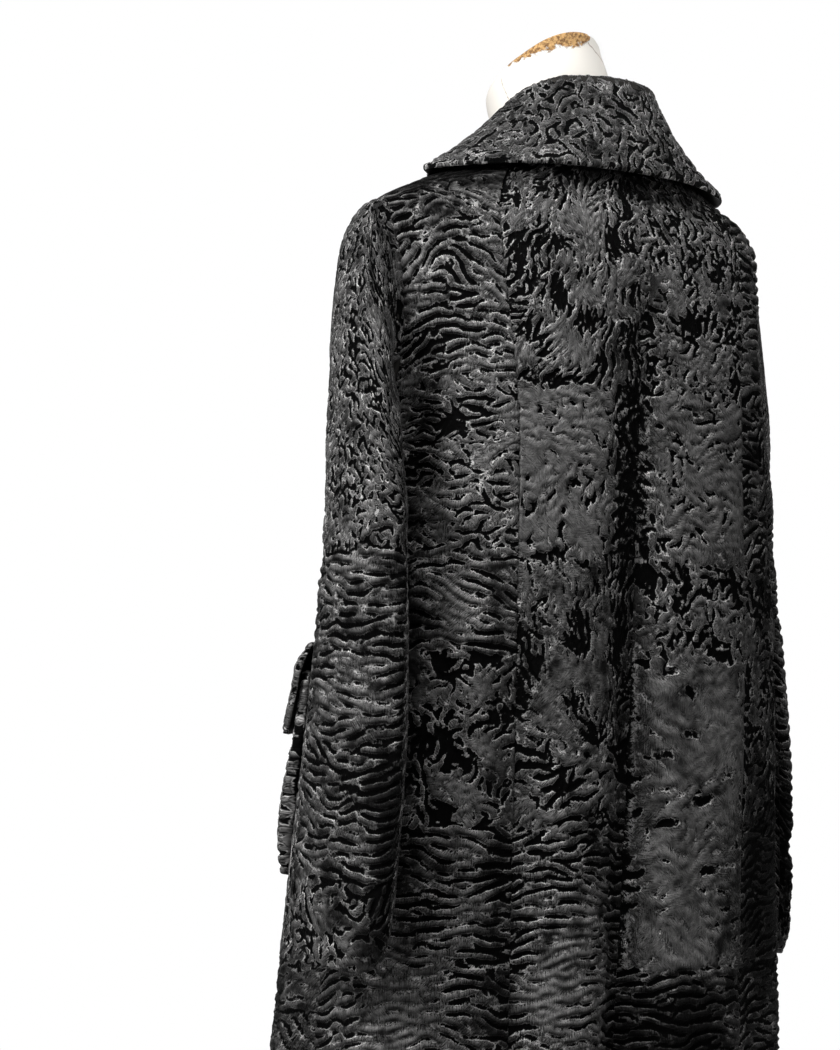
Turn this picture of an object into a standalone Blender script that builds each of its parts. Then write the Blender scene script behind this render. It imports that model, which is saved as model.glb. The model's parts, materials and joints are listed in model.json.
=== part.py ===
"""A long curly-lamb fur coat, closed, worn by a limbless dress form on a stand.

Metres, +Z up. The origin is the middle of the underside of the stand's base. The coat's
front faces -Y and the wearer's left is +X. Every cloth piece is a wall of its own, laid
on one smooth surface of the whole coat, and neighbours keep a seam gap between them.
"""
import math

import bmesh
import bpy
import numpy as np

# Driving dimensions
OBJECT_NAME = "fur_coat_on_dress_form"
PELT = 0.005  # leather and the curled pile on it
SEAM_GAP = 0.0003
HEM_HEIGHT = 0.35
NECKLINE_HEIGHT = 1.405  # at the centre back
FRONT_NECK_DROP = 0.045  # how much lower the neckline is at the centre front
DROP_STARTS = 1.15  # below this height the rows are level
FRONT_OVERLAP = 0.035  # the right front laps over the left one by twice this
LAP_CLEARANCE = 0.0009
LAP_DIP_ANGLE = math.radians(10)  # the under front sinks by its own thickness over this
LAP_DIP_MARGIN = math.radians(2.5)

# The whole coat's outer surface, a row for each height. The depths run from the line
# through both shoulder points to the centre back and the centre front.
COAT_COLUMNS = ("height", "half_width", "back", "front", "back_square", "front_square")
COAT_SECTIONS = (
    (0.350, 0.267, 0.151, 0.222, 2.30, 2.10),
    (0.600, 0.249, 0.142, 0.199, 2.45, 2.15),
    (0.800, 0.232, 0.136, 0.178, 2.65, 2.26),
    (1.000, 0.217, 0.129, 0.160, 2.95, 2.20),
    (1.130, 0.207, 0.123, 0.152, 2.90, 2.25),
    (1.220, 0.201, 0.118, 0.145, 2.70, 2.30),
    (1.290, 0.203, 0.112, 0.125, 2.50, 2.30),
    (1.330, 0.206, 0.105, 0.103, 2.35, 2.30),
    (1.352, 0.196, 0.098, 0.089, 2.20, 2.20),
    (1.372, 0.160, 0.090, 0.081, 2.10, 2.10),
    (1.390, 0.120, 0.083, 0.075, 2.00, 2.00),
    (1.405, 0.082, 0.074, 0.069, 2.00, 2.00),
)

# Soft hanging folds: troughs between flutes, by angle from the centre back toward the
# wearer's left, with their half width and their depth at the hem.
TROUGH_COLUMNS = ("angle", "half_width", "depth")
TROUGHS = (
    (1, 13, 0.050),
    (46, 8, 0.017),
    (86, 10, 0.017),
    (118, 9, 0.014),
    (150, 11, 0.012),
    (208, 11, 0.012),
    (241, 9, 0.015),
    (273, 10, 0.016),
    (305, 8, 0.016),
    (332, 9, 0.009),
)
TROUGHS_START = 1.24  # height where the folds die out
FOLD_GROWTH = 1.15

# Panels, each of two plates of pelt
PLATE_SEAM = 1.040
PLATE_ROW_CLEARANCE = 0.025  # no row comes closer to the plate seam than this
PRINCESS_COLUMNS = ("height", "angle")
PRINCESS_SEAM = (
    (0.350, 45.0),
    (0.800, 46.5),
    (1.130, 48.5),
    (1.300, 56.0),
    (1.405, 62.0),
)
CENTRE_BACK_COLUMNS = 9
SIDE_BACK_COLUMNS = 6
FRONT_COLUMNS = 14
SKIRT_ROWS = 10
ARMHOLE_ROWS = 10  # half of the sleeve's columns, so that both edges share their corners
SHOULDER_ROWS = 5

# Armhole, an oval on the coat's side
ARMHOLE_BOTTOM = 1.130
ARMHOLE_TOP = 1.350
ARMHOLE_BACK_DEPTH = 0.036
ARMHOLE_FRONT_DEPTH = 0.074

# Sleeves: a row for each level section of the hanging part, top to cuff. The centre is
# from the body's axis, turn is how far the wide axis is turned out at the back.
SLEEVE_COLUMNS = ("height", "centre_x", "centre_y", "half_thick", "half_wide", "turn")
SLEEVE_SECTIONS = {
    "left": (
        (1.060, 0.240, 0.051, 0.023, 0.059, 7.0),
        (0.950, 0.247, 0.060, 0.027, 0.063, 5.0),
        (0.850, 0.254, 0.065, 0.029, 0.067, 4.0),
        (0.750, 0.261, 0.066, 0.029, 0.066, 3.0),
        (0.715, 0.263, 0.066, 0.028, 0.063, 2.0),
        (0.690, 0.265, 0.065, 0.024, 0.053, 0.0),
    ),
    "right": (
        (1.060, 0.235, -0.027, 0.020, 0.062, -3.0),
        (0.950, 0.246, -0.021, 0.024, 0.064, -3.0),
        (0.850, 0.254, -0.018, 0.025, 0.066, -3.0),
        (0.750, 0.259, -0.018, 0.025, 0.065, -3.0),
        (0.715, 0.261, -0.019, 0.024, 0.062, -3.0),
        (0.690, 0.262, -0.020, 0.021, 0.053, -3.0),
    ),
}
SLEEVE_CAP_ROWS = 7
SLEEVE_HANG_ROWS = 8
SLEEVE_COLUMNS_AROUND = 2 * ARMHOLE_ROWS
SLEEVE_BACK_SEAM = 108.0  # angle round the sleeve, 0 outermost and 90 at the back
SLEEVE_FRONT_SEAM = 288.0
CUFF_LOWEST_ANGLE = 62.0  # the cuff's edge hangs lowest here and lifts both ways
CUFF_SLANT = 0.034
CUFF_TUCK = 0.042  # and it is drawn up further at the inner back
CUFF_TUCK_ANGLE = 162.0
CUFF_TUCK_SPREAD = 42.0
ARMHOLE_CLEARANCE = 0.0009
SLEEVE_SEAM_RADIUS = 0.030  # distance from the sleeve's middle to its seams, about
CAP_LEAD = {"left": (0.013, 0.016), "right": (0.011, 0.004)}  # outward, and more at the top
CAP_LEAN = 0.36  # rise of the cap for its reach outward, at its top
CAP_DROP = {"left": (0.026, 0.145), "right": (0.026, 0.080)}  # height it turns down over

# Collar
COLLAR_COLUMNS = ("angle", "stand", "edge_height", "edge_lift", "puff")
COLLAR_SECTIONS = (
    (0, 0.062, 1.374, 0.0130, 0.003),
    (40, 0.060, 1.373, 0.0130, 0.003),
    (70, 0.048, 1.370, 0.0120, 0.004),
    (85, 0.031, 1.373, 0.0110, 0.003),
    (100, 0.018, 1.383, 0.0090, 0.002),
    (112, 0.013, 1.384, 0.0080, 0.002),
    (125, 0.012, 1.374, 0.0080, 0.002),
    (150, 0.019, 1.330, 0.0085, 0.004),
    (168, 0.021, 1.303, 0.0085, 0.005),
    (176, 0.020, 1.307, 0.0085, 0.005),
)
COLLAR_FRONT_ANGLE = 176.0
COLLAR_STEPS = 40
COLLAR_STAND_ROWS = 2
COLLAR_FALL_ROWS = 9
COLLAR_THICK = 0.0055
COLLAR_ROLL = 0.009  # how far below the top the stand starts to turn over
COLLAR_ROLL_PULL = 0.019  # roundness of the roll
COLLAR_FALL_PULL = 0.66  # how long the fall runs straight up from its edge
NECK_SEAM_LIFT = 0.0006

# Pockets and flaps on the fronts
POCKET_ANGLES = (111.0, 147.0)
POCKET_HEIGHTS = (0.757, 0.935)
FLAP_ANGLES = (110.0, 148.0)
FLAP_HEIGHTS = (0.878, 0.960)
POCKET_THICK = 0.008
FLAP_THICK = 0.006
POCKET_SAG = 0.003  # the pocket's inside stands off the coat by this where it is fullest
POCKET_ROLL = 0.005  # and its pile is this much deeper there
POCKET_FULLEST = 0.58  # below 1 the fullest place lies under the pocket's middle
POCKET_CORNER_ROWS = 0.25  # share of the height taken by the rounded lower corners
FLAP_CORNER_ROWS = 0.45
FLAP_FOLD_LIFT = 0.002  # the flap clears the pocket's top edge this much before reaching it
FLAP_FLARE = 0.004
POCKET_CORNER = 0.30  # share of the width taken by each rounded lower corner
POCKET_GRID = (9, 9)
FLAP_GRID = (9, 6)
SEAT_GAP = 0.0004

# Steps for measuring the slopes of a surface, in metres, radians or shares of a length
SLOPE_STEP = 0.010
HEIGHT_STEP = 0.0005
EDGE_INSET = 0.0006
ANGLE_STEP = 0.0001
AROUND_STEP = 0.001
PLACE_STEP = 0.002
SHARP_ANGLE = math.radians(50)

# Dress form
FORM_COLUMNS = ("height", "half_width", "back", "front", "squareness")
FORM_SECTIONS = (
    (0.740, 0.150, 0.085, 0.105, 2.3),
    (0.760, 0.160, 0.095, 0.115, 2.3),
    (0.860, 0.168, 0.100, 0.118, 2.3),
    (0.960, 0.142, 0.088, 0.104, 2.2),
    (1.030, 0.122, 0.080, 0.096, 2.2),
    (1.120, 0.142, 0.090, 0.125, 2.2),
    (1.180, 0.160, 0.094, 0.126, 2.3),
    (1.250, 0.176, 0.096, 0.106, 2.3),
)
FORM_TORSO_TOP = 1.225
FORM_TORSO_ROWS = 11
FORM_SHOULDER_FROM = 1.300  # above this the form fills the coat's shoulders
FORM_CLEARANCE = 0.0009
LAP_RELIEF = 0.0068  # hollow in the form's chest for the front that laps under
LAP_RELIEF_ANGLE = 38.0
LAP_RELIEF_FADE = 14.0
SHOULDER_TIP_RELIEF = 0.002
SHOULDER_TIP_POWER = 10  # keeps that relief close to the shoulder points
FORM_FOOT_SHARE = 0.94  # the form draws in by this at its underside
NECK_COLUMNS = ("height", "centre_y", "radius_x", "radius_y", "tilt")
NECK_SECTIONS = (
    (1.388, 0.009, 0.063, 0.050, 0.00),
    (1.408, 0.000, 0.060, 0.052, 0.05),
    (1.431, -0.012, 0.0580, 0.0546, 0.18),
    (1.457, -0.0232, 0.0570, 0.0546, 0.24),
    (1.4765, -0.0268, 0.0499, 0.0477, 0.50),
    (1.4814, -0.0212, 0.0424, 0.0412, 0.70),
    (1.4870, -0.0206, 0.0357, 0.0346, 0.56),
)
FORM_STEPS = 34
POLE_RADIUS = 0.0145
POLE_CAP_RADIUS = 0.036
POLE_CAP_THICK = 0.007
BASE_RADIUS = 0.170
BASE_RIM_THICK = 0.010
BASE_THICK = 0.017
HUB_RADIUS = 0.032
HUB_TOP = 0.048
HUB_FILLET = (0.008, 0.004)  # reach along the plate and up the hub
EDGE_BREAK = 0.003
RIM_BREAK = (0.006, 0.004)
POLE_CAP_TAPER = 0.008
TURNED_STEPS = 32


def smooth_table(rows, columns):
    """A function that reads each named column at any place along the first one.

    It is a cubic through the rows that never overshoots between two of them.
    """
    table = np.array(rows, float)
    where = table[:, 0]
    step = np.diff(where)

    def slopes(values):
        rise = np.diff(values) / step
        slope = np.zeros(len(values))
        slope[0] = rise[0]
        slope[-1] = rise[-1]
        for i in range(1, len(values) - 1):
            if rise[i - 1] * rise[i] > 0:
                before = 2 * step[i] + step[i - 1]
                after = step[i] + 2 * step[i - 1]
                slope[i] = (before + after) / (before / rise[i - 1] + after / rise[i])
        return slope

    all_slopes = [slopes(table[:, k]) for k in range(1, len(columns))]

    def read(at):
        at = np.clip(np.asarray(at, float), where[0], where[-1])
        i = np.clip(np.searchsorted(where, at, side="right") - 1, 0, len(step) - 1)
        t = (at - where[i]) / step[i]
        found = {}
        for k, name in enumerate(columns[1:]):
            values = table[:, k + 1]
            slope = all_slopes[k]
            found[name] = (
                (2 * t**3 - 3 * t**2 + 1) * values[i]
                + (t**3 - 2 * t**2 + t) * step[i] * slope[i]
                + (3 * t**2 - 2 * t**3) * values[i + 1]
                + (t**3 - t**2) * step[i] * slope[i + 1]
            )
        return found

    return read


def smooth_step(t):
    t = np.clip(t, 0.0, 1.0)
    return t * t * (3 - 2 * t)


coat_section = smooth_table(COAT_SECTIONS, COAT_COLUMNS)
princess_seam = smooth_table(PRINCESS_SEAM, PRINCESS_COLUMNS)
collar_section = smooth_table(COLLAR_SECTIONS, COLLAR_COLUMNS)


def ring_radius(angle, section):
    """Radius of a rounded oval whose back and front depths differ."""
    depth = np.where(np.cos(angle) > 0, section["back"], section["front"])
    power = np.where(np.cos(angle) > 0, section["back_square"], section["front_square"])
    across = (np.abs(np.sin(angle)) / section["half_width"]) ** power
    along = (np.abs(np.cos(angle)) / depth) ** power
    return (across + along) ** (-1 / power)


def fold_depth(angle, height):
    """How far the hanging troughs sink the surface, in metres."""
    grown = np.clip((TROUGHS_START - height) / (TROUGHS_START - HEM_HEIGHT), 0, 1) ** FOLD_GROWTH
    sunk = np.zeros(np.broadcast(angle, height).shape)
    for centre, half_width, depth in TROUGHS:
        away = (np.degrees(angle) - centre + 180) % 360 - 180
        sunk = sunk + depth * np.exp(-((away / half_width) ** 2))
    return grown * sunk


def coat_base(angle, height):
    """Points of the coat's outer surface, by angle from the centre back and height."""
    section = coat_section(height)
    radius = ring_radius(angle, section) - fold_depth(angle, height)
    drop = FRONT_NECK_DROP * smooth_step((height - DROP_STARTS) / (NECKLINE_HEIGHT - DROP_STARTS))
    lowered = height - drop * ((1 - np.cos(angle)) / 2) ** 2
    return np.stack([radius * np.sin(angle), radius * np.cos(angle), lowered], -1)


def unit(vectors):
    return vectors / np.linalg.norm(vectors, axis=-1, keepdims=True)


def normals_of(surface, u, v, step_u, step_v):
    """Unit normals of surface(u, v), from its slopes both ways."""
    along_u = surface(u + step_u, v) - surface(u - step_u, v)
    along_v = surface(u, v + step_v) - surface(u, v - step_v)
    return unit(np.cross(along_u, along_v))


def coat_point(angle, height, lift=0.0):
    """A point of the coat's surface, moved out by lift."""
    inside = np.clip(height, HEM_HEIGHT + EDGE_INSET, NECKLINE_HEIGHT - EDGE_INSET)
    outward = -normals_of(coat_base, angle, inside, ANGLE_STEP, HEIGHT_STEP)
    lift = np.asarray(lift, float)
    return coat_base(angle, height) + outward * lift[..., None]


def armhole_oval(around):
    """Depth and height of the armhole's edge; around is 0 at the top, 90 degrees at the back."""
    middle = (ARMHOLE_TOP + ARMHOLE_BOTTOM) / 2
    half_height = (ARMHOLE_TOP - ARMHOLE_BOTTOM) / 2
    reach = np.where(np.sin(around) > 0, ARMHOLE_BACK_DEPTH, ARMHOLE_FRONT_DEPTH)
    return reach * np.sin(around), middle + half_height * np.cos(around)


def angle_at_depth(depth, height):
    """The angle where the coat's level section reaches a given depth from the axis."""
    section = coat_section(height)
    side = np.where(depth > 0, section["back"], section["front"])
    power = np.where(depth > 0, section["back_square"], section["front_square"])
    across = section["half_width"] * (1 - (np.abs(depth) / side) ** power) ** (1 / power)
    return np.arctan2(across, depth)


def body_rows():
    """Heights of the grid rows: even on the skirt, along the oval beside the armhole."""
    skirt = np.linspace(HEM_HEIGHT, ARMHOLE_BOTTOM, SKIRT_ROWS + 1)
    around = np.linspace(math.pi, 0, ARMHOLE_ROWS + 1)
    beside = armhole_oval(around)[1]
    shoulder = np.linspace(ARMHOLE_TOP, NECKLINE_HEIGHT, SHOULDER_ROWS + 1)
    return np.concatenate([skirt, beside[1:], shoulder[1:]])


def side_edge(rows, toward_back):
    """Angle of a panel's outer edge at each row: the side seam, the armhole, the shoulder."""
    middle = (ARMHOLE_TOP + ARMHOLE_BOTTOM) / 2
    half_height = (ARMHOLE_TOP - ARMHOLE_BOTTOM) / 2
    level = np.clip((rows - middle) / half_height, -1, 1)
    share = np.sqrt(1 - level**2)
    depth = ARMHOLE_BACK_DEPTH * share if toward_back else -ARMHOLE_FRONT_DEPTH * share
    return angle_at_depth(depth, rows)


def princess_edge(rows):
    return np.radians(princess_seam(rows)["angle"])


def half_gap(rows):
    """Half the seam gap as an angle, at each row."""
    section = coat_section(rows)
    return SEAM_GAP / 2 / np.minimum(section["back"], section["half_width"])


def closed_wall(name, outer, inner, colour_name):
    """One closed solid between two grids of points that lie over each other."""
    rows, columns = outer.shape[:2]
    points = np.concatenate([outer.reshape(-1, 3), inner.reshape(-1, 3)])
    count = rows * columns

    def at(row, column, layer):
        return layer * count + row * columns + column

    faces = []
    for row in range(rows - 1):
        for column in range(columns - 1):
            quad = (
                at(row, column, 0),
                at(row, column + 1, 0),
                at(row + 1, column + 1, 0),
                at(row + 1, column, 0),
            )
            faces.append(quad)
            faces.append(tuple(index + count for index in reversed(quad)))
    for column in range(columns - 1):
        faces.append((at(0, column, 1), at(0, column + 1, 1), at(0, column + 1, 0), at(0, column, 0)))
        last = rows - 1
        faces.append(
            (at(last, column, 0), at(last, column + 1, 0), at(last, column + 1, 1), at(last, column, 1))
        )
    for row in range(rows - 1):
        faces.append((at(row, 0, 0), at(row + 1, 0, 0), at(row + 1, 0, 1), at(row, 0, 1)))
        last = columns - 1
        faces.append((at(row, last, 1), at(row + 1, last, 1), at(row + 1, last, 0), at(row, last, 0)))
    return mesh_object(name, points, faces, colour_name)


def mesh_object(name, points, faces, colour_name):
    mesh = bpy.data.meshes.new(name)
    mesh.from_pydata([tuple(point) for point in points], [], faces)
    work = bmesh.new()
    work.from_mesh(mesh)
    bmesh.ops.recalc_face_normals(work, faces=work.faces)
    bmesh.ops.triangulate(work, faces=work.faces)
    work.to_mesh(mesh)
    work.free()
    mesh.shade_smooth()
    mesh.set_sharp_from_angle(angle=SHARP_ANGLE)
    piece = bpy.data.objects.new(name, mesh)
    mesh.materials.append(material_for(name, colour_name))
    home_collection().objects.link(piece)
    return piece


def home_collection():
    home = bpy.data.collections.get(OBJECT_NAME)
    if home is None:
        home = bpy.data.collections.new(OBJECT_NAME)
        bpy.context.scene.collection.children.link(home)
    return home


FINISHES = {
    "pelt": ((0.022, 0.022, 0.024, 1), 0.55, 0.0),
    "painted_form": ((0.86, 0.83, 0.77, 1), 0.6, 0.0),
    "steel": ((0.55, 0.55, 0.56, 1), 0.35, 1.0),
    "base": ((0.10, 0.10, 0.11, 1), 0.5, 0.6),
}


def material_for(piece_name, finish_name):
    colour, roughness, metallic = FINISHES[finish_name]
    material = bpy.data.materials.new(f"{piece_name}_finish")
    material.use_nodes = True
    shader = material.node_tree.nodes["Principled BSDF"]
    shader.inputs["Base Color"].default_value = colour
    shader.inputs["Roughness"].default_value = roughness
    shader.inputs["Metallic"].default_value = metallic
    material.diffuse_color = colour
    return material


def panel(name, low_edge, high_edge, columns, mirrored=False, lift=None):
    """A body panel between two edges given as angles at each row, in its two plates."""
    all_rows = body_rows()
    below = all_rows[all_rows < PLATE_SEAM - PLATE_ROW_CLEARANCE]
    above = all_rows[all_rows > PLATE_SEAM + PLATE_ROW_CLEARANCE]
    plates = {
        "lower": np.append(below, PLATE_SEAM - SEAM_GAP / 2),
        "upper": np.insert(above, 0, PLATE_SEAM + SEAM_GAP / 2),
    }
    share = np.linspace(0, 1, columns + 1)[None, :]
    for plate, rows in plates.items():
        gap = half_gap(rows)
        low = low_edge(rows) + gap
        high = high_edge(rows) - gap
        angle = low[:, None] + (high - low)[:, None] * share
        height = np.repeat(rows[:, None], columns + 1, 1)
        if mirrored:
            angle = 2 * math.pi - angle
        shift = np.zeros(angle.shape) if lift is None else lift(angle, height)
        outer = coat_point(angle, height, shift)
        inner = coat_point(angle, height, shift - PELT)
        closed_wall(f"{name}_{plate}", outer, inner, "pelt")


def make_body():
    def centre(rows):
        return np.zeros(len(rows))

    def side_back(rows):
        return side_edge(rows, True)

    def side_front(rows):
        return side_edge(rows, False)

    panel("back_centre_left", centre, princess_edge, CENTRE_BACK_COLUMNS)
    panel("back_centre_right", centre, princess_edge, CENTRE_BACK_COLUMNS, mirrored=True)
    panel("back_side_left", princess_edge, side_back, SIDE_BACK_COLUMNS)
    panel("back_side_right", princess_edge, side_back, SIDE_BACK_COLUMNS, mirrored=True)

    # Each front runs past the centre by the lap; the left one dips under the right one.
    def lap_edge(rows):
        return math.pi + FRONT_OVERLAP / coat_section(rows)["front"]

    def under_lap(angle, height):
        dip_from = 2 * math.pi - lap_edge(height) - LAP_DIP_ANGLE - LAP_DIP_MARGIN
        return -(PELT + LAP_CLEARANCE) * smooth_step((angle - dip_from) / LAP_DIP_ANGLE)

    panel("front_left", side_front, lap_edge, FRONT_COLUMNS, lift=under_lap)
    panel("front_right", side_front, lap_edge, FRONT_COLUMNS, mirrored=True)


def sleeve_surface(side):
    """A function of angle round the sleeve and place along it, 0 at the armhole, 1 at the cuff."""
    sections = SLEEVE_SECTIONS[side]
    sign = 1 if side == "left" else -1
    read = smooth_table(sections[::-1], SLEEVE_COLUMNS)
    top = sections[0][0]
    cuff = sections[-1][0]
    cap_share = SLEEVE_CAP_ROWS / (SLEEVE_CAP_ROWS + SLEEVE_HANG_ROWS)
    lead_low, lead_more = CAP_LEAD[side]
    drop_low, drop_more = CAP_DROP[side]

    def level_section(around, height):
        found = read(height)
        turn = np.radians(found["turn"])
        thick = found["half_thick"] * np.cos(around)
        wide = found["half_wide"] * np.sin(around)
        x = found["centre_x"] + thick * np.cos(turn) + wide * np.sin(turn)
        y = found["centre_y"] - thick * np.sin(turn) + wide * np.cos(turn)
        return np.stack([x, y, height + 0 * x], -1)

    def armhole_ring(around):
        depth, height = armhole_oval(around)
        shrunk = 1 - ARMHOLE_CLEARANCE / ARMHOLE_BACK_DEPTH
        middle = (ARMHOLE_TOP + ARMHOLE_BOTTOM) / 2
        height = middle + (height - middle) * (1 - ARMHOLE_CLEARANCE / (ARMHOLE_TOP - middle))
        depth = depth * shrunk
        return coat_point(angle_at_depth(depth, height), height)

    def surface(around, place):
        around, place = np.broadcast_arrays(around, place)
        start = armhole_ring(around)
        end = level_section(around, np.full(around.shape, top))
        up = (1 + np.cos(around)) / 2
        out = lead_low + lead_more * up
        lead = np.stack([out, 0 * out, CAP_LEAN * out * up], -1)
        rise = np.stack([0 * out, 0 * out, drop_low + drop_more * up], -1)
        t = np.clip(place / cap_share, 0, 1)[..., None]
        cap = (
            (1 - t) ** 3 * start
            + 3 * (1 - t) ** 2 * t * (start + lead)
            + 3 * (1 - t) * t**2 * (end + rise)
            + t**3 * end
        )
        slant = CUFF_SLANT * (1 - np.cos(around - math.radians(CUFF_LOWEST_ANGLE))) / 2
        away = (np.degrees(around) - CUFF_TUCK_ANGLE + 180) % 360 - 180
        lift = slant + CUFF_TUCK * np.exp(-((away / CUFF_TUCK_SPREAD) ** 2))
        s = np.clip((place - cap_share) / (1 - cap_share), 0, None)
        height = top + (cuff + lift - top) * s
        hanging = level_section(around, height)
        point = np.where(place[..., None] <= cap_share, cap, hanging)
        return point * np.array([sign, 1, 1])

    return surface


def sleeve_piece(side, name, first, last, columns):
    surface = sleeve_surface(side)
    rows = SLEEVE_CAP_ROWS + SLEEVE_HANG_ROWS
    gap = SEAM_GAP / 2 / SLEEVE_SEAM_RADIUS
    around = np.linspace(math.radians(first) + gap, math.radians(last) - gap, columns + 1)
    place = np.linspace(0, 1, rows + 1)
    u, v = np.meshgrid(around, place)
    outer = surface(u, v)
    inside = np.clip(v, 2 * PLACE_STEP, 1 - 2 * PLACE_STEP)
    outward = normals_of(surface, u, inside, AROUND_STEP, PLACE_STEP)
    if side == "left":
        outward = -outward
    inner = outer - PELT * outward
    closed_wall(name, outer, inner, "pelt")


def make_sleeves():
    top_span = SLEEVE_BACK_SEAM + 360 - SLEEVE_FRONT_SEAM
    top_columns = round(SLEEVE_COLUMNS_AROUND * top_span / 360)
    under_columns = SLEEVE_COLUMNS_AROUND - top_columns
    for side in ("left", "right"):
        sleeve_piece(side, f"sleeve_{side}_top", SLEEVE_FRONT_SEAM - 360, SLEEVE_BACK_SEAM, top_columns)
        sleeve_piece(side, f"sleeve_{side}_under", SLEEVE_BACK_SEAM, SLEEVE_FRONT_SEAM, under_columns)


def collar_grid():
    """The collar's visible side: up the stand, over the roll and down the fall."""
    columns = np.radians(np.linspace(-COLLAR_FRONT_ANGLE, COLLAR_FRONT_ANGLE, COLLAR_STEPS + 1))
    found = collar_section(np.abs(np.degrees(columns)))
    outward = np.stack([np.sin(columns), np.cos(columns), 0 * columns], -1)
    up = np.array([0, 0, 1.0])
    foot = coat_base(columns, np.full(columns.shape, NECKLINE_HEIGHT)) + up * NECK_SEAM_LIFT
    turn_start = found["stand"] - COLLAR_ROLL
    edge = coat_point(columns, found["edge_height"], found["edge_lift"])
    inward = unit(coat_point(columns, found["edge_height"] + SLOPE_STEP, found["edge_lift"]) - edge)
    rise = unit(coat_point(columns, found["edge_height"], found["edge_lift"] + SLOPE_STEP) - edge)
    rows = []
    for share in np.linspace(0, 1, COLLAR_STAND_ROWS + 1)[:-1]:
        rows.append(foot + up * (turn_start * share)[:, None])
    start = foot + up * turn_start[:, None]
    first_pull = start + up * COLLAR_ROLL_PULL
    fall = np.linalg.norm(edge - start, axis=-1)
    last_pull = edge + inward * (COLLAR_FALL_PULL * fall)[:, None] + rise * found["puff"][:, None]
    for share in np.linspace(0, 1, COLLAR_FALL_ROWS + 1):
        rows.append(
            (1 - share) ** 3 * start
            + 3 * (1 - share) ** 2 * share * first_pull
            + 3 * (1 - share) * share**2 * last_pull
            + share**3 * edge
        )
    return np.array(rows)


def grid_normals(grid):
    """Unit normals of an open grid of points, from its neighbours both ways."""
    down = np.gradient(grid, axis=0)
    along = np.gradient(grid, axis=1)
    return unit(np.cross(along, down))


def make_collar():
    outer = collar_grid()
    inner = outer - COLLAR_THICK * grid_normals(outer)
    closed_wall("collar", outer, inner, "pelt")


def pocket_fullness(height):
    """From 0 at the pocket's top and bottom edges to 1 where it hangs fullest."""
    low, high = POCKET_HEIGHTS
    share = np.clip((height - low) / (high - low), 0, 1)
    return np.sin(math.pi * share**POCKET_FULLEST) ** 2


def patch(name, side, angles, heights, grid, corner_rows, inner_lift, outer_lift):
    """A patch on a front, made from the front's own points moved out."""
    columns, rows = grid
    v = np.linspace(0, 1, rows + 1)
    low_share = np.clip(v / corner_rows, 0, 1)
    narrowing = POCKET_CORNER / 2 * (1 - np.sqrt(1 - (1 - low_share) ** 2))
    u = np.linspace(0, 1, columns + 1)[None, :]
    squeezed = narrowing[:, None] + u * (1 - 2 * narrowing[:, None])
    angle = np.radians(angles[0] + (angles[1] - angles[0]) * squeezed)
    height = np.repeat((heights[0] + (heights[1] - heights[0]) * v)[:, None], columns + 1, 1)
    across = np.sin(math.pi * np.repeat(u, rows + 1, 0)) ** 0.5
    if side == "right":
        angle = 2 * math.pi - angle
    inner = coat_point(angle, height, inner_lift(height, across))
    outer = coat_point(angle, height, outer_lift(height, across))
    closed_wall(name, outer, inner, "pelt")


def make_pockets():
    def pocket_inner(height, across):
        return SEAT_GAP + POCKET_SAG * pocket_fullness(height) * across

    def pocket_outer(height, across):
        return pocket_inner(height, across) + POCKET_THICK + POCKET_ROLL * pocket_fullness(height)

    def flap_inner(height, across):
        low, high = FLAP_HEIGHTS
        over = smooth_step((high - height) / (high - POCKET_HEIGHTS[1] - FLAP_FOLD_LIFT))
        flare = FLAP_FLARE * np.clip((high - height) / (high - low), 0, 1) ** 2
        on_pocket = pocket_outer(height, across) + SEAT_GAP + flare
        return SEAT_GAP + (on_pocket - SEAT_GAP) * over

    def flap_outer(height, across):
        return flap_inner(height, across) + FLAP_THICK

    for side in ("left", "right"):
        patch(
            f"pocket_{side}", side, POCKET_ANGLES, POCKET_HEIGHTS, POCKET_GRID,
            POCKET_CORNER_ROWS, pocket_inner, pocket_outer,
        )
        patch(
            f"pocket_flap_{side}", side, FLAP_ANGLES, FLAP_HEIGHTS, FLAP_GRID,
            FLAP_CORNER_ROWS, flap_inner, flap_outer,
        )


def form_rings():
    """Level rings of the dress form from its underside up to the sliced neck."""
    read = smooth_table(FORM_SECTIONS, FORM_COLUMNS)
    angle = np.linspace(0, 2 * math.pi, FORM_STEPS + 1)[:-1]

    def torso(height):
        section = read(height)
        section["back_square"] = section["squareness"]
        section["front_square"] = section["squareness"]
        radius = ring_radius(angle, section)
        return np.stack([radius * np.sin(angle), radius * np.cos(angle), height + 0 * angle], -1)

    def shoulders(height):
        away = np.abs(np.degrees(angle) - 180)
        near_lap = 1 - smooth_step((away - LAP_RELIEF_ANGLE) / LAP_RELIEF_FADE)
        near_tip = np.abs(np.sin(angle)) ** SHOULDER_TIP_POWER
        lift = -(PELT + FORM_CLEARANCE) - LAP_RELIEF * near_lap - SHOULDER_TIP_RELIEF * near_tip
        return coat_point(angle, np.full(angle.shape, height), lift)

    chest = FORM_SECTIONS[-1][0]
    rings = []
    for height in np.linspace(FORM_SECTIONS[1][0], FORM_TORSO_TOP, FORM_TORSO_ROWS):
        rings.append(torso(height))
    blend_height = FORM_SHOULDER_FROM - FORM_TORSO_TOP
    for height in body_rows():
        if FORM_TORSO_TOP < height < NECK_SECTIONS[0][0]:
            share = float(smooth_step((height - FORM_TORSO_TOP) / blend_height))
            ring = torso(min(height, chest)) * (1 - share) + shoulders(height) * share
            ring[:, 2] += (height - min(height, chest)) * (1 - share)
            rings.append(ring)
    for height, centre_y, radius_x, radius_y, tilt in NECK_SECTIONS:
        x = radius_x * np.sin(angle)
        y = radius_y * np.cos(angle)
        rings.append(np.stack([x, centre_y + y, height + tilt * y], -1))
    bottom = rings[0] * [FORM_FOOT_SHARE, FORM_FOOT_SHARE, 0] + [0, 0, FORM_SECTIONS[0][0]]
    return [bottom] + rings


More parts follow.
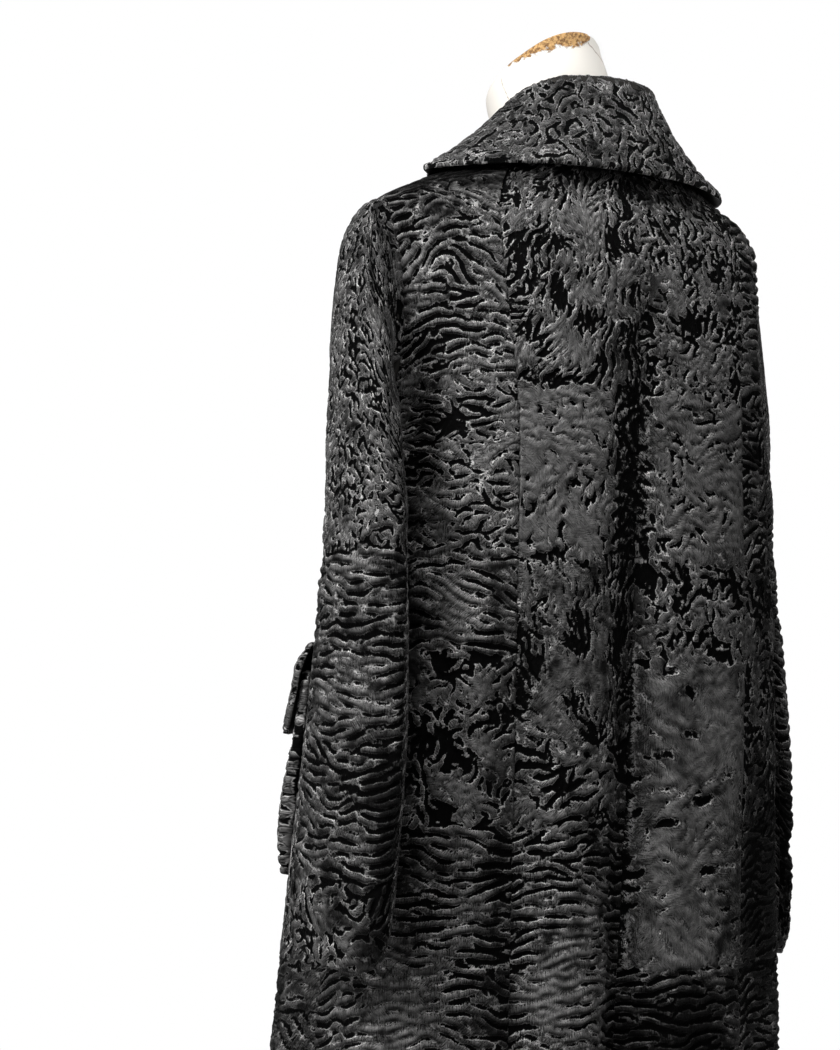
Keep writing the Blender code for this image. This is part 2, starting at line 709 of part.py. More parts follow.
def make_form():
    rings = form_rings()
    count = FORM_STEPS
    points = np.concatenate(rings)
    faces = []
    for row in range(len(rings) - 1):
        for column in range(count):
            after = (column + 1) % count
            low = row * count
            high = (row + 1) * count
            faces.append((low + column, low + after, high + after, high + column))
    faces.append(tuple(range(count)))
    faces.append(tuple(range(len(points) - 1, len(points) - count - 1, -1)))
    mesh_object("form_torso", points, faces, "painted_form")


def turned(name, profile, finish_name):
    """A solid turned about the vertical axis from (radius, height) pairs, top to bottom."""
    mesh = bpy.data.meshes.new(name)
    points = [(radius, 0, height) for radius, height in profile]
    mesh.from_pydata(points, [(i, i + 1) for i in range(len(points) - 1)], [])
    piece = bpy.data.objects.new(name, mesh)
    home_collection().objects.link(piece)
    screw = piece.modifiers.new("turn", "SCREW")
    screw.steps = TURNED_STEPS
    screw.render_steps = TURNED_STEPS
    screw.use_merge_vertices = True
    screw.merge_threshold = 0.0001
    screw.use_smooth_shade = True
    mesh.materials.append(material_for(name, finish_name))
    return piece


def make_stand():
    form_bottom = FORM_SECTIONS[0][0]
    turned(
        "form_base",
        (
            (0, HUB_TOP),
            (HUB_RADIUS - EDGE_BREAK, HUB_TOP),
            (HUB_RADIUS, HUB_TOP - EDGE_BREAK),
            (HUB_RADIUS + HUB_FILLET[0] / 4, BASE_THICK + HUB_FILLET[1]),
            (HUB_RADIUS + HUB_FILLET[0], BASE_THICK),
            (BASE_RADIUS - RIM_BREAK[0], BASE_RIM_THICK),
            (BASE_RADIUS, BASE_RIM_THICK - RIM_BREAK[1]),
            (BASE_RADIUS, 0),
            (0, 0),
        ),
        "base",
    )
    top = form_bottom - SEAM_GAP
    turned(
        "form_pole",
        (
            (0, top),
            (POLE_CAP_RADIUS, top),
            (POLE_CAP_RADIUS, top - POLE_CAP_THICK),
            (POLE_RADIUS, top - POLE_CAP_THICK - POLE_CAP_TAPER),
            (POLE_RADIUS, HUB_TOP + SEAM_GAP),
            (0, HUB_TOP + SEAM_GAP),
        ),
        "steel",
    )


def main():
    for old in list(bpy.data.objects):
        bpy.data.objects.remove(old, do_unlink=True)
    make_body()
    make_sleeves()
    make_collar()
    make_pockets()
    make_form()
    make_stand()


main()
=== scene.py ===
import json
import math

import bpy
import numpy as np
from mathutils import Matrix

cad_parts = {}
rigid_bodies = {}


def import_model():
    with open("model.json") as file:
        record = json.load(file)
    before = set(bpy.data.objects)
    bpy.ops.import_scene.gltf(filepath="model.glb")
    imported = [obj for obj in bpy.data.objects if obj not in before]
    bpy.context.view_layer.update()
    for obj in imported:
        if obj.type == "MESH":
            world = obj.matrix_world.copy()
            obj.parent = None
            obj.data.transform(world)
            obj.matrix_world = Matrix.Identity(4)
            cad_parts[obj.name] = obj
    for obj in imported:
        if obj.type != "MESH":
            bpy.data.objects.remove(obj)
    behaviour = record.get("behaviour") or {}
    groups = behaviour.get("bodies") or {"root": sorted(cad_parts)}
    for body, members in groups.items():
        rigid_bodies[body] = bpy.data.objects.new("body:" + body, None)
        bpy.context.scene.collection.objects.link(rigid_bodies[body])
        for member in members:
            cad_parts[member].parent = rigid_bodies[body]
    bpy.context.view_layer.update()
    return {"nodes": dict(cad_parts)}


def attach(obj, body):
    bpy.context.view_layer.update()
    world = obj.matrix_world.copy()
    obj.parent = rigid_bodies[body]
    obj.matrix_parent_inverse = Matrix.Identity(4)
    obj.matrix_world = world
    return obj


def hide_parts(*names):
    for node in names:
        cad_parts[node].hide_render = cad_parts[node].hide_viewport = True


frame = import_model()
print("frame: loaded", len(frame["nodes"]), "solids")

# The coat's cut. Angles run from the centre back toward the wearer's left.
coat = {
    "peltThick": 0.005,
    "seamGap": 0.0003,
    "hem": 0.35,
    "neckline": 1.405,  # at the centre back
    "frontNeckDrop": 0.045,
    "dropStarts": 1.15,
    "frontOverlap": 0.035,
    "lapClearance": 0.0009,
    "lapDipAngle": math.radians(10),
    "lapDipMargin": math.radians(2.5),
    "lapStillAngle": math.radians(8),
    # height, half width, back, front, back squareness, front squareness
    "sections": (
        (0.350, 0.267, 0.151, 0.222, 2.30, 2.10),
        (0.600, 0.249, 0.142, 0.199, 2.45, 2.15),
        (0.800, 0.232, 0.136, 0.178, 2.65, 2.26),
        (1.000, 0.217, 0.129, 0.160, 2.95, 2.20),
        (1.130, 0.207, 0.123, 0.152, 2.90, 2.25),
        (1.220, 0.201, 0.118, 0.145, 2.70, 2.30),
        (1.290, 0.203, 0.112, 0.125, 2.50, 2.30),
        (1.330, 0.206, 0.105, 0.103, 2.35, 2.30),
        (1.352, 0.196, 0.098, 0.089, 2.20, 2.20),
        (1.372, 0.160, 0.090, 0.081, 2.10, 2.10),
        (1.390, 0.120, 0.083, 0.075, 2.00, 2.00),
        (1.405, 0.082, 0.074, 0.069, 2.00, 2.00),
    ),
    # hanging folds: angle, half width, depth at the hem
    "troughs": (
        (1, 13, 0.050),
        (46, 8, 0.017),
        (86, 10, 0.017),
        (118, 9, 0.014),
        (150, 11, 0.012),
        (208, 11, 0.012),
        (241, 9, 0.015),
        (273, 10, 0.016),
        (305, 8, 0.016),
        (332, 9, 0.009),
    ),
    "troughsStart": 1.24,
    "foldGrowth": 1.15,
    # height and angle of the seam between the centre back and the side back
    "princessSeam": ((0.350, 45.0), (0.800, 46.5), (1.130, 48.5), (1.300, 56.0), (1.405, 62.0)),
    "armholeBottom": 1.130,
    "armholeTop": 1.350,
    "armholeBack": 0.036,
    "armholeFront": 0.074,
    "shoulderRun": 0.135,  # length of the slope from the armhole to the neck
    "normalInset": 0.0006,  # normals are read this far inside the hem and the neckline
}


def smoothTable(rows):
    # a cubic through the rows that never overshoots; the first column is the place
    where, *columns = np.array(rows, float).T
    step = np.diff(where)
    before = 2 * step[1:] + step[:-1]
    after = step[1:] + 2 * step[:-1]
    slopes = []
    for values in columns:
        rise = np.diff(values) / step
        slope = np.concatenate([rise[:1], np.zeros(len(rise) - 1), rise[-1:]])
        for i in np.where(rise[:-1] * rise[1:] > 0)[0]:
            slope[i + 1] = (before[i] + after[i]) / (before[i] / rise[i] + after[i] / rise[i + 1])
        slopes.append(slope)

    def read(at):
        at = np.clip(np.asarray(at, float), where[0], where[-1])
        i = np.clip(np.searchsorted(where, at, side="right") - 1, 0, len(step) - 1)
        t = (at - where[i]) / step[i]
        return [
            (2 * t**3 - 3 * t**2 + 1) * values[i]
            + (t**3 - 2 * t**2 + t) * step[i] * slope[i]
            + (3 * t**2 - 2 * t**3) * values[i + 1]
            + (t**3 - t**2) * step[i] * slope[i + 1]
            for values, slope in zip(columns, slopes)
        ]

    return read


def smoothStep(t):
    t = np.clip(t, 0.0, 1.0)
    return t * t * (3 - 2 * t)


def unit(vectors):
    return vectors / np.linalg.norm(vectors, axis=-1, keepdims=True)


def wrapped(degrees):
    return (degrees + 180) % 360 - 180


def cubic(t, start, startPull, endPull, end):
    # a curve from start to end that leaves and arrives along the two pulls
    return (
        (1 - t) ** 3 * start
        + 3 * (1 - t) ** 2 * t * startPull
        + 3 * (1 - t) * t**2 * endPull
        + t**3 * end
    )


coatSection = smoothTable(coat["sections"])
princessAngle = smoothTable(coat["princessSeam"])
armholeMiddle = (coat["armholeTop"] + coat["armholeBottom"]) / 2
armholeHalf = (coat["armholeTop"] - coat["armholeBottom"]) / 2
up = np.array([0, 0, 1.0])


def ringRadius(angle, halfWidth, back, front, backSquare, frontSquare):
    behind = np.cos(angle) > 0
    depth = np.where(behind, back, front)
    power = np.where(behind, backSquare, frontSquare)
    across = (np.abs(np.sin(angle)) / halfWidth) ** power
    along = (np.abs(np.cos(angle)) / depth) ** power
    return (across + along) ** (-1 / power)


def foldDepth(angle, height):
    grown = np.clip((coat["troughsStart"] - height) / (coat["troughsStart"] - coat["hem"]), 0, 1)
    sunk = np.zeros(np.broadcast(angle, height).shape)
    for centre, halfWidth, depth in coat["troughs"]:
        away = wrapped(np.degrees(angle) - centre)
        sunk = sunk + depth * np.exp(-((away / halfWidth) ** 2))
    return grown ** coat["foldGrowth"] * sunk


def coatBase(angle, height):
    radius = ringRadius(angle, *coatSection(height)) - foldDepth(angle, height)
    rise = (height - coat["dropStarts"]) / (coat["neckline"] - coat["dropStarts"])
    drop = coat["frontNeckDrop"] * smoothStep(rise)
    lowered = height - drop * ((1 - np.cos(angle)) / 2) ** 2
    return np.stack([radius * np.sin(angle), radius * np.cos(angle), lowered], -1)


def normalsOf(surface, u, v, stepU, stepV):
    alongU = surface(u + stepU, v) - surface(u - stepU, v)
    alongV = surface(u, v + stepV) - surface(u, v - stepV)
    return unit(np.cross(alongU, alongV))


def coatOutward(angle, height):
    inside = np.clip(height, coat["hem"] + coat["normalInset"], coat["neckline"] - coat["normalInset"])
    return -normalsOf(coatBase, angle, inside, 0.0001, 0.0005)


def coatPoint(angle, height, lift=0.0):
    lift = np.asarray(lift, float)
    return coatBase(angle, height) + coatOutward(angle, height) * lift[..., None]


def armholeOval(around):
    reach = np.where(np.sin(around) > 0, coat["armholeBack"], coat["armholeFront"])
    return reach * np.sin(around), armholeMiddle + armholeHalf * np.cos(around)


def angleAtDepth(depth, height):
    halfWidth, back, front, backSquare, frontSquare = coatSection(height)
    side = np.where(depth > 0, back, front)
    power = np.where(depth > 0, backSquare, frontSquare)
    across = halfWidth * (1 - (np.abs(depth) / side) ** power) ** (1 / power)
    return np.arctan2(across, depth)


def armholeShare(rows):
    return np.sqrt(1 - np.clip((rows - armholeMiddle) / armholeHalf, -1, 1) ** 2)


# Curled lamb pile. A pattern is grown from noise: it is filtered to one curl width along
# a running direction, and pushed toward flat-topped curls, a few times over.
pile = {
    "cell": 0.00125,  # pattern's own grid, in metres
    "depth": 0.0028,  # from the top of a curl to the bottom of a valley
    "crest": 0.0002,  # how far a curl stands over the solid's surface
    "bulkShare": 0.42,
    "seamDip": 0.0005,
    "seamSpread": 0.0020,
    "edgeRoll": 0.0040,  # radius of the free edges
    "openLevel": 0.02,  # share of standing pile where it is wholly open
    "closing": 2.2,  # how much a wholly closed zone raises the level of standing pile
    "join": 0.0050,  # how far the line between two pelts wavers
    "joinSoft": 0.0060,
    "joinWaves": ((0.0091, 0.35), (0.0043, 0.30), (0.0021, 0.20), (0.0190, 0.40)),  # size and share
    "joinDip": (0.0004, 0.0018),  # depth and width of the groove between two pelts
    "joinLine": (0.6, 0.0014),  # strength and width of the dark line in it
    "sideFade": (0.25, 0.030),  # share of the tone left at a side edge, and where it is whole
    "brightest": 1.1,
    "leather": 0.0006,  # thinnest wall under a valley
    "stillLevel": 0.3,  # depth of pile that lies still, as a share
    "steepness": 1.3,
    "swayFine": (0.35, 0.012),  # share and size of the finer turning of the curls
    "filterWidth": 2.2,
    "contrast": 1.5,
    "fraySize": 0.0042,
    "trailWobble": (0.12, 0.004),
    "trailPatch": (1.2, 0.022),  # strength and size of the patches that have trails
    "combBlur": (0.0008, 0.0022),
    "combWander": (0.5, 0.009),
    "toneNoise": ((0.6, 0.030), (0.5, 0.010)),
    "highest": 2.2,  # limit of lift, above and below
    "margin": 20,  # cells left round each pattern
    "ways": 8,  # directions that the noise is filtered along
}

# run: way the curls lie in degrees, 0 is level; arch turns it toward both sides; sway and
# swaySize: how far and how often it wanders; grain: how strictly the curls follow it;
# wave: curl width and its gap; spread: range of widths; level: share of standing pile
# against bare valley; patchy: how much that varies; lean: turn of the hair from lying
# straight across its curl; trails: depth of single long grooves; relief: strength of the
# light and shade painted by slope.
curlLooks = {
    "ridges": dict(run=0, arch=-16, sway=11, swaySize=0.045, grain=6.0, wave=0.0102, spread=0.52, rounds=2,
                   level=0.58, patchy=0.40, patchSize=0.040, fray=0.14, lean=12, relief=1.9),
    "worms": dict(run=0, arch=0, sway=75, swaySize=0.026, grain=0.8, wave=0.0100, spread=0.70, rounds=2,
                  level=0.40, patchy=0.75, patchSize=0.030, fray=0.28, lean=20),
    "smooth": dict(run=-10, arch=0, sway=40, swaySize=0.05, grain=1.4, wave=0.0128, spread=0.65, rounds=2,
                   level=1.85, patchy=0.70, patchSize=0.045, fray=0.18, lean=45,
                   trails=3.2, trailSize=0.016, trailWidth=0.20),
    "feather": dict(run=68, arch=-22, sway=24, swaySize=0.035, grain=3.2, wave=0.0115, spread=0.75, rounds=1,
                    level=0.30, patchy=0.85, patchSize=0.036, fray=0.30, lean=80),
}


def waveNumbers(shape):
    return np.fft.fftfreq(shape[0], pile["cell"])[:, None], np.fft.rfftfreq(shape[1], pile["cell"])[None, :]


def softNoise(shape, size, rng):
    wave = np.fft.rfft2(rng.standard_normal(shape))
    fy, fx = waveNumbers(shape)
    wave *= np.exp(-4 * (fx**2 + fy**2) * (0.45 * size) ** 2)
    found = np.fft.irfft2(wave, s=shape)
    return (found - found.mean()) / (found.std() + 1e-9)


def blurred(values, size):
    fy, fx = waveNumbers(values.shape)
    smooth = np.exp(-2 * (np.pi * size) ** 2 * (fx**2 + fy**2))
    return np.fft.irfft2(np.fft.rfft2(values) * smooth, s=values.shape)


def curlPattern(width, height, look, seed):
    cell = pile["cell"]
    rng = np.random.default_rng(seed)
    nx = int(width / cell) + 2 * pile["margin"]
    ny = int(height / cell) + 2 * pile["margin"]
    nx += nx % 2
    ny += ny % 2
    shape = (ny, nx)
    x = (np.arange(nx) - nx / 2)[None, :] * cell / (width / 2)
    fy, fx = waveNumbers(shape)
    radius = np.hypot(fx, fy)
    wayOf = np.arctan2(fy, fx)
    fineShare, fineSize = pile["swayFine"]
    run = look["run"] + look["arch"] * x + look["sway"] * softNoise(shape, look["swaySize"], rng)
    run = np.radians(run + fineShare * look["sway"] * softNoise(shape, fineSize, rng))
    ways = [np.pi * k / pile["ways"] for k in range(pile["ways"])]
    weights = [np.exp(look["grain"] * (np.cos(2 * (way - run - np.pi / 2)) - 1)) for way in ways]
    total = sum(weights)
    scale = np.log(np.maximum(radius, 1) * look["wave"])
    ring = np.exp(-((scale / look["spread"]) ** 2))
    lastRing = np.exp(-((scale / (1.5 * look["spread"])) ** 2))
    wedges = [np.exp(pile["filterWidth"] * (np.cos(2 * (wayOf - way)) - 1)) for way in ways]
    curls = rng.standard_normal(shape)
    for roundsLeft in reversed(range(look["rounds"])):
        waves = np.fft.rfft2(curls) * (ring if roundsLeft else lastRing)
        mixed = np.zeros(shape)
        for weight, wedge in zip(weights, wedges):
            mixed += weight / total * np.fft.irfft2(waves * wedge, s=shape)
        mixed /= mixed.std()
        curls = np.tanh(pile["contrast"] * mixed) if roundsLeft else mixed
    curls = curls + look["fray"] * softNoise(shape, pile["fraySize"], rng)
    if "trails" in look:
        # long single grooves where a wide noise crosses zero
        wobble, wobbleSize = pile["trailWobble"]
        patch, patchSize = pile["trailPatch"]
        crossing = softNoise(shape, look["trailSize"], rng) + wobble * softNoise(shape, wobbleSize, rng)
        here = smoothStep(softNoise(shape, patchSize, rng) * patch + look.get("trailShare", 0.5))
        curls = curls + look["trails"] * np.exp(-((crossing / look["trailWidth"]) ** 2)) * here
    level = look["level"] + look["patchy"] * softNoise(shape, look["patchSize"], rng)
    level = level + look.get("tiltX", 0) * x
    lift = np.clip(level - curls, -pile["highest"], pile["highest"])

    # the hair lies across each curl, from its ridge down to its foot
    fineBlur, wideBlur = pile["combBlur"]
    wander, wanderSize = pile["combWander"]
    gy, gx = np.gradient(blurred(curls, fineBlur))
    way = np.arctan2(blurred(2 * gx * gy, wideBlur), blurred(gx**2 - gy**2, wideBlur))
    way = way + np.radians(2 * look["lean"]) + wander * softNoise(shape, wanderSize, rng)
    return {
        "middle": (nx / 2, ny / 2),
        "lift": lift,
        # the slope of each curl, used only to paint light on its upper side and shade on its lower side
        "slopeLighting": np.clip(gy / gy.std(), -2.5, 2.5) * look.get("relief", 1.0),
        "tone": sum(softNoise(shape, size, rng) * share for share, size in pile["toneNoise"]),
        "combX": np.cos(way),
        "combY": np.sin(way),
    }


def readPattern(pattern, name, x, y):
    # between the pattern's own points
    values = pattern[name]
    column = np.clip(x / pile["cell"] + pattern["middle"][0], 0, values.shape[1] - 1.001)
    row = np.clip(y / pile["cell"] + pattern["middle"][1], 0, values.shape[0] - 1.001)
    c = column.astype(int)
    r = row.astype(int)
    fc = column - c
    fr = row - r
    low = values[r, c] * (1 - fc) + values[r, c + 1] * fc
    high = values[r + 1, c] * (1 - fc) + values[r + 1, c + 1] * fc
    return low * (1 - fr) + high * fr


# Shader maths
class Wire:
    # an output socket; arithmetic on it adds Math nodes
    def __init__(self, finish, socket):
        self.finish = finish
        self.socket = socket

    def out(self, name):
        return Wire(self.finish, self.socket.node.outputs[name])

    def math(self, operation, *others):
        values = dict(enumerate((self, *others)))
        return self.finish.node("ShaderNodeMath", {"operation": operation}, values)

    def __add__(self, other):
        return self.math("ADD", other)

    def __sub__(self, other):
        return self.math("SUBTRACT", other)

    def __rsub__(self, other):
        return self.finish.node("ShaderNodeMath", {"operation": "SUBTRACT"}, {0: other, 1: self})

    def __mul__(self, other):
        return self.math("MULTIPLY", other)

    def __neg__(self):
        return self.math("MULTIPLY", -1.0)

    __radd__ = __add__
    __rmul__ = __mul__

    def above(self, low, high):
        # 0 below low, 1 above high, smooth between
        values = {"Value": self, "From Min": low, "From Max": high}
        return self.finish.node("ShaderNodeMapRange", {"interpolation_type": "SMOOTHSTEP"}, values)

    def near(self, centre, width):
        away = (self - centre) * (1 / width)
        return (-(away * away)).math("EXPONENT")


class Finish:
    # the nodes of a material, or of the surround
    def __init__(self, name, owner=None):
        self.material = owner or bpy.data.materials.new(name)
        self.material.use_nodes = True
        self.tree = self.material.node_tree
        self.shader = self.tree.nodes.get("Principled BSDF")

    def node(self, kind, settings=None, values=None, output=0):
        made = self.tree.nodes.new(kind)
        for name, value in (settings or {}).items():
            setattr(made, name, value)
        for name, value in (values or {}).items():
            self.feed(made.inputs[name], value)
        return Wire(self, made.outputs[output])

    def feed(self, socket, value):
        if isinstance(value, Wire):
            self.tree.links.new(value.socket, socket)
        else:
            socket.default_value = value

    def set(self, **values):
        for name, value in values.items():
            self.feed(self.shader.inputs[name.replace("_", " ")], value)

    def attribute(self, name, output="Fac"):
        return self.node("ShaderNodeAttribute", {"attribute_name": name}, output=output)

    def noise(self, vector, scale, detail=2.0, roughness=0.5, dimensions="3D", distortion=0.0):
        values = {"Vector": vector, "Scale": scale, "Detail": detail, "Roughness": roughness}
        values["Distortion"] = distortion
        return self.node("ShaderNodeTexNoise", {"noise_dimensions": dimensions}, values)

    def mixed(self, factor, first, second):
        return self.node("ShaderNodeMix", {"data_type": "RGBA"}, {0: factor, 6: first, 7: second}, output=2)

    def bump(self, height, distance, strength=1.0):
        values = {"Height": height, "Distance": distance, "Strength": strength}
        self.set(Normal=self.node("ShaderNodeBump", {}, values))

    def places(self):
        return self.node("ShaderNodeTexCoord", output="Object")


peltLook = {
    "pool": 0.0012,  # black between the curls
    # grey of the standing hair: partly its own colour and partly a painted highlight of its gloss
    "nap": 0.104,
    # painted highlight along the edge of each curl, where its hair catches the light
    "rim": 0.520,
    "inRim": (0.28, 0.75, 0.30),  # its least light, and the share of breaks and hair in it
    "rimPlace": (0.24, 0.22),  # where on a curl's side the painted rim highlight lies, and its width
    "innerLine": (0.74, 0.22, 0.38),  # the painted shade line inside the rim highlight: place, width, strength
    "breaks": (120.0, 0.36, 0.62),  # scale and levels of what breaks the rim
    "slopes": ((-0.25, 0.35), (0.0, 1.15)),  # foot and crown of a curl; the crown is painted lighter than the foot, as shade down its sides
    "hairLong": 0.0062,
    "hairWide": 0.00105,
    "hairStrength": 6.0,
    # size, detail, roughness, distortion, strength
    "scratch": (0.0021, 3.0, 0.65, 2.2, 6.0),
    "wiggle": (0.0034, 2.0, 0.55, 0.6, 4.0),
    "inEdge": (0.42, 0.20, 0.10),  # share of wiggle, hair and scratch in a curl's edge
    "inStrands": (1.15, 0.90),  # share of hair and scratch in the light on a curl
    "inBump": (0.34, 0.22, 0.34, 0.0011),  # hair, scratch, edge, and the distance in metres
    "roughness": (0.62, 0.14),  # in a valley, and how much less on a curl
    # painted shade on the hair where the pile is deep: in folds, down the centre back, beside the sleeve and
    # under the collar
    "sleek": 0.60,  # how much flatter the hair lies where no curl stands
    # painted light on curl sides that slope upward and painted shade on those that slope down
    "deepShade": 0.62,
    # the tone carries random pelt differences, and the painted shade of the zones and under the collar
    "slopeShade": 0.30,
    "toneShade": 0.40,
    "specular": 0.05,
}


def peltFinish(name, look):
    finish = Finish(name)
    lift, tone, slopeLighting, deep = (finish.attribute(field) for field in ("lift", "tone", "slopeLighting", "deep"))
    comb = finish.attribute("comb", "Vector")
    parts = finish.node("ShaderNodeSeparateXYZ", {}, {0: comb})
    ways = [parts, parts.out("Y"), -parts, -parts.out("Y")]
    flat = finish.attribute("flat", "Vector")
    hair = 0
    for k, way in enumerate(ways):
        values = {
            "Vector": flat,
            "Rotation": (0, 0, math.radians(45 * k)),
            "Scale": (look["hairLong"], look["hairWide"], 1),
        }
        turned = finish.node("ShaderNodeMapping", {"vector_type": "TEXTURE"}, values)
        weight = way.math("MAXIMUM", 0.0)
        hair = hair + weight * weight * (finish.noise(turned, 1.0, 2.0, 0.6, "2D") - 0.5)
    hair = hair * look["hairStrength"]

    def grain(size, detail, roughness, distortion, strength):
        return (finish.noise(flat, 1 / size, detail, roughness, "2D", distortion) - 0.5) * strength

    scratch = grain(*look["scratch"])
    wiggle = grain(*look["wiggle"])
    breakScale, breakLow, breakHigh = look["breaks"]
    broken = finish.noise(flat, breakScale, 1.0, 0.5, "2D").above(breakLow, breakHigh)

    wiggleShare, hairShare, scratchShare = look["inEdge"]
    edge = lift + wiggle * wiggleShare + hair * hairShare + scratch * scratchShare
    foot, crown = look["slopes"]
    # how much pile stands; its step from foot to crown also paints shade down a curl's sides
    standing = edge.above(*foot) * 0.5 + edge.above(*crown) * 0.5
    rimPlain, rimBroken, rimHair = look["inRim"]
    # painted highlight along each curl's edge, broken and haired
    rim = edge.near(*look["rimPlace"]) * (rimPlain + broken * rimBroken + hair * rimHair).math("MAXIMUM", 0.0)
    # painted shade line just inside the rim highlight
    inPlace, inWidth, inStrength = look["innerLine"]
    inner = 1 - edge.near(inPlace, inWidth) * inStrength
    hairLight, scratchLight = look["inStrands"]
    sleek = 1 - lift.above(1.1, 2.0) * look["sleek"]
    strands = (1 + (hair * hairLight + scratch * scratchLight) * sleek).math("MAXIMUM", 0.05) * inner
    # painted shade where the pile is deep
    strands = strands * (1 - deep * look["deepShade"])
    # painted light and shade by the slope of each curl
    paintedSlopeLight = (1 + slopeLighting * look["slopeShade"]).math("MAXIMUM", 0.12)
    value = look["pool"] + (standing * strands * look["nap"] + rim * look["rim"]) * paintedSlopeLight
    # tone: random pelt differences plus painted shade from the zones and under the collar
    value = value * (1 + tone * look["toneShade"]).math("MAXIMUM", 0.10)
    colour = finish.mixed(value.math("MAXIMUM", 0.0), (0, 0, 0, 1), (1.0, 0.985, 0.975, 1))
    valley, less = look["roughness"]
    finish.set(Base_Color=colour, Roughness=valley - standing * less, Specular_IOR_Level=look["specular"])
    hairBump, scratchBump, edgeBump, distance = look["inBump"]
    finish.bump((hair * hairBump + scratch * scratchBump) * sleek + edge * edgeBump, distance)
    return finish.material


def leatherFinish():
    finish = Finish("leather_side")
    grain = finish.noise(finish.places(), 420.0, 3.0, 0.6)
    colour = finish.mixed(grain, (0.016, 0.015, 0.014, 1), (0.040, 0.037, 0.034, 1))
    finish.set(Base_Color=colour, Roughness=0.85, Specular_IOR_Level=0.2)
    finish.bump(grain, 0.0004, 0.5)
    return finish.material


peltMaterial = peltFinish("curly_lamb", peltLook)
leatherMaterial = leatherFinish()


# Pieces of pelt as thin shells
def arcs(points, axis):
    step = np.linalg.norm(np.diff(points, axis=axis), axis=-1)
    total = np.cumsum(step, axis=axis)
    return np.insert(total, 0, 0.0, axis=axis)


def zipped(fine, coarse, picks):
    # triangles between a fine edge and the coarse one behind it
    found = []
    for j in range(len(coarse) - 1):
        first = picks[j]
        last = picks[j + 1]
        middle = (first + last) // 2
        for i in range(first, middle):
            found.append((fine[i + 1], fine[i], coarse[j]))
        found.append((coarse[j], coarse[j + 1], fine[middle]))
        for i in range(middle, last):
            found.append((fine[i + 1], fine[i], coarse[j + 1]))
    return found


def picked(count, step):
    picks = list(range(0, count - 1, step))
    return np.array(picks + [count - 1])


def quadsOf(numbers):
    corners = [numbers[:-1, :-1], numbers[:-1, 1:], numbers[1:, 1:], numbers[1:, :-1]]
    return np.stack(corners, -1).reshape(-1, 4)


def tubeFaces(ringCount, steps):
    # faces round a stack of rings, the lowest first, with a fan over both ends
    numbers = np.arange(ringCount * steps).reshape(ringCount, steps)
    sides = quadsOf(np.concatenate([numbers, numbers[:, :1]], 1))[:, ::-1]
    fan = np.array([(0, i, i + 1) for i in range(1, steps - 1)])
    return sides, np.concatenate([numbers[0][fan], numbers[-1][fan[:, ::-1]]])


def ringOf(angle, radiusX, radiusY, height):
    return np.stack([radiusX * np.sin(angle), radiusY * np.cos(angle), height + 0 * angle], -1)


def meshOf(name, points, quads, triangles, secondFrom, materials):
    mesh = bpy.data.meshes.new(name)
    mesh.vertices.add(len(points))
    mesh.vertices.foreach_set("co", points.astype(np.float32).ravel())
    corners = np.concatenate([quads.ravel(), triangles.ravel()])
    mesh.loops.add(len(corners))
    mesh.loops.foreach_set("vertex_index", corners.astype(np.int32))
    faceCount = len(quads) + len(triangles)
    mesh.polygons.add(faceCount)
    starts = np.concatenate([4 * np.arange(len(quads)), 4 * len(quads) + 3 * np.arange(len(triangles))])
    mesh.polygons.foreach_set("loop_start", starts.astype(np.int32))
    kinds = np.zeros(faceCount, np.int32)
    kinds[secondFrom:len(quads)] = 1
    for material in materials:
        mesh.materials.append(material)
    mesh.polygons.foreach_set("material_index", kinds)
    mesh.update(calc_edges=True)
    mesh.validate()
    mesh.shade_smooth()
    piece = bpy.data.objects.new(name, mesh)
    bpy.context.scene.collection.objects.link(piece)
    return piece


def addAttribute(piece, name, values):
    kind = "FLOAT" if values.ndim == 1 else "FLOAT_VECTOR"
    made = piece.data.attributes.new(name, kind, "POINT")
    made.data.foreach_set("value" if kind == "FLOAT" else "vector", values.astype(np.float32).ravel())


def edgeRoll(away):
    r = pile["edgeRoll"]
    inside = np.clip(r - away, 0, r)
    return r - np.sqrt(r**2 - inside**2)


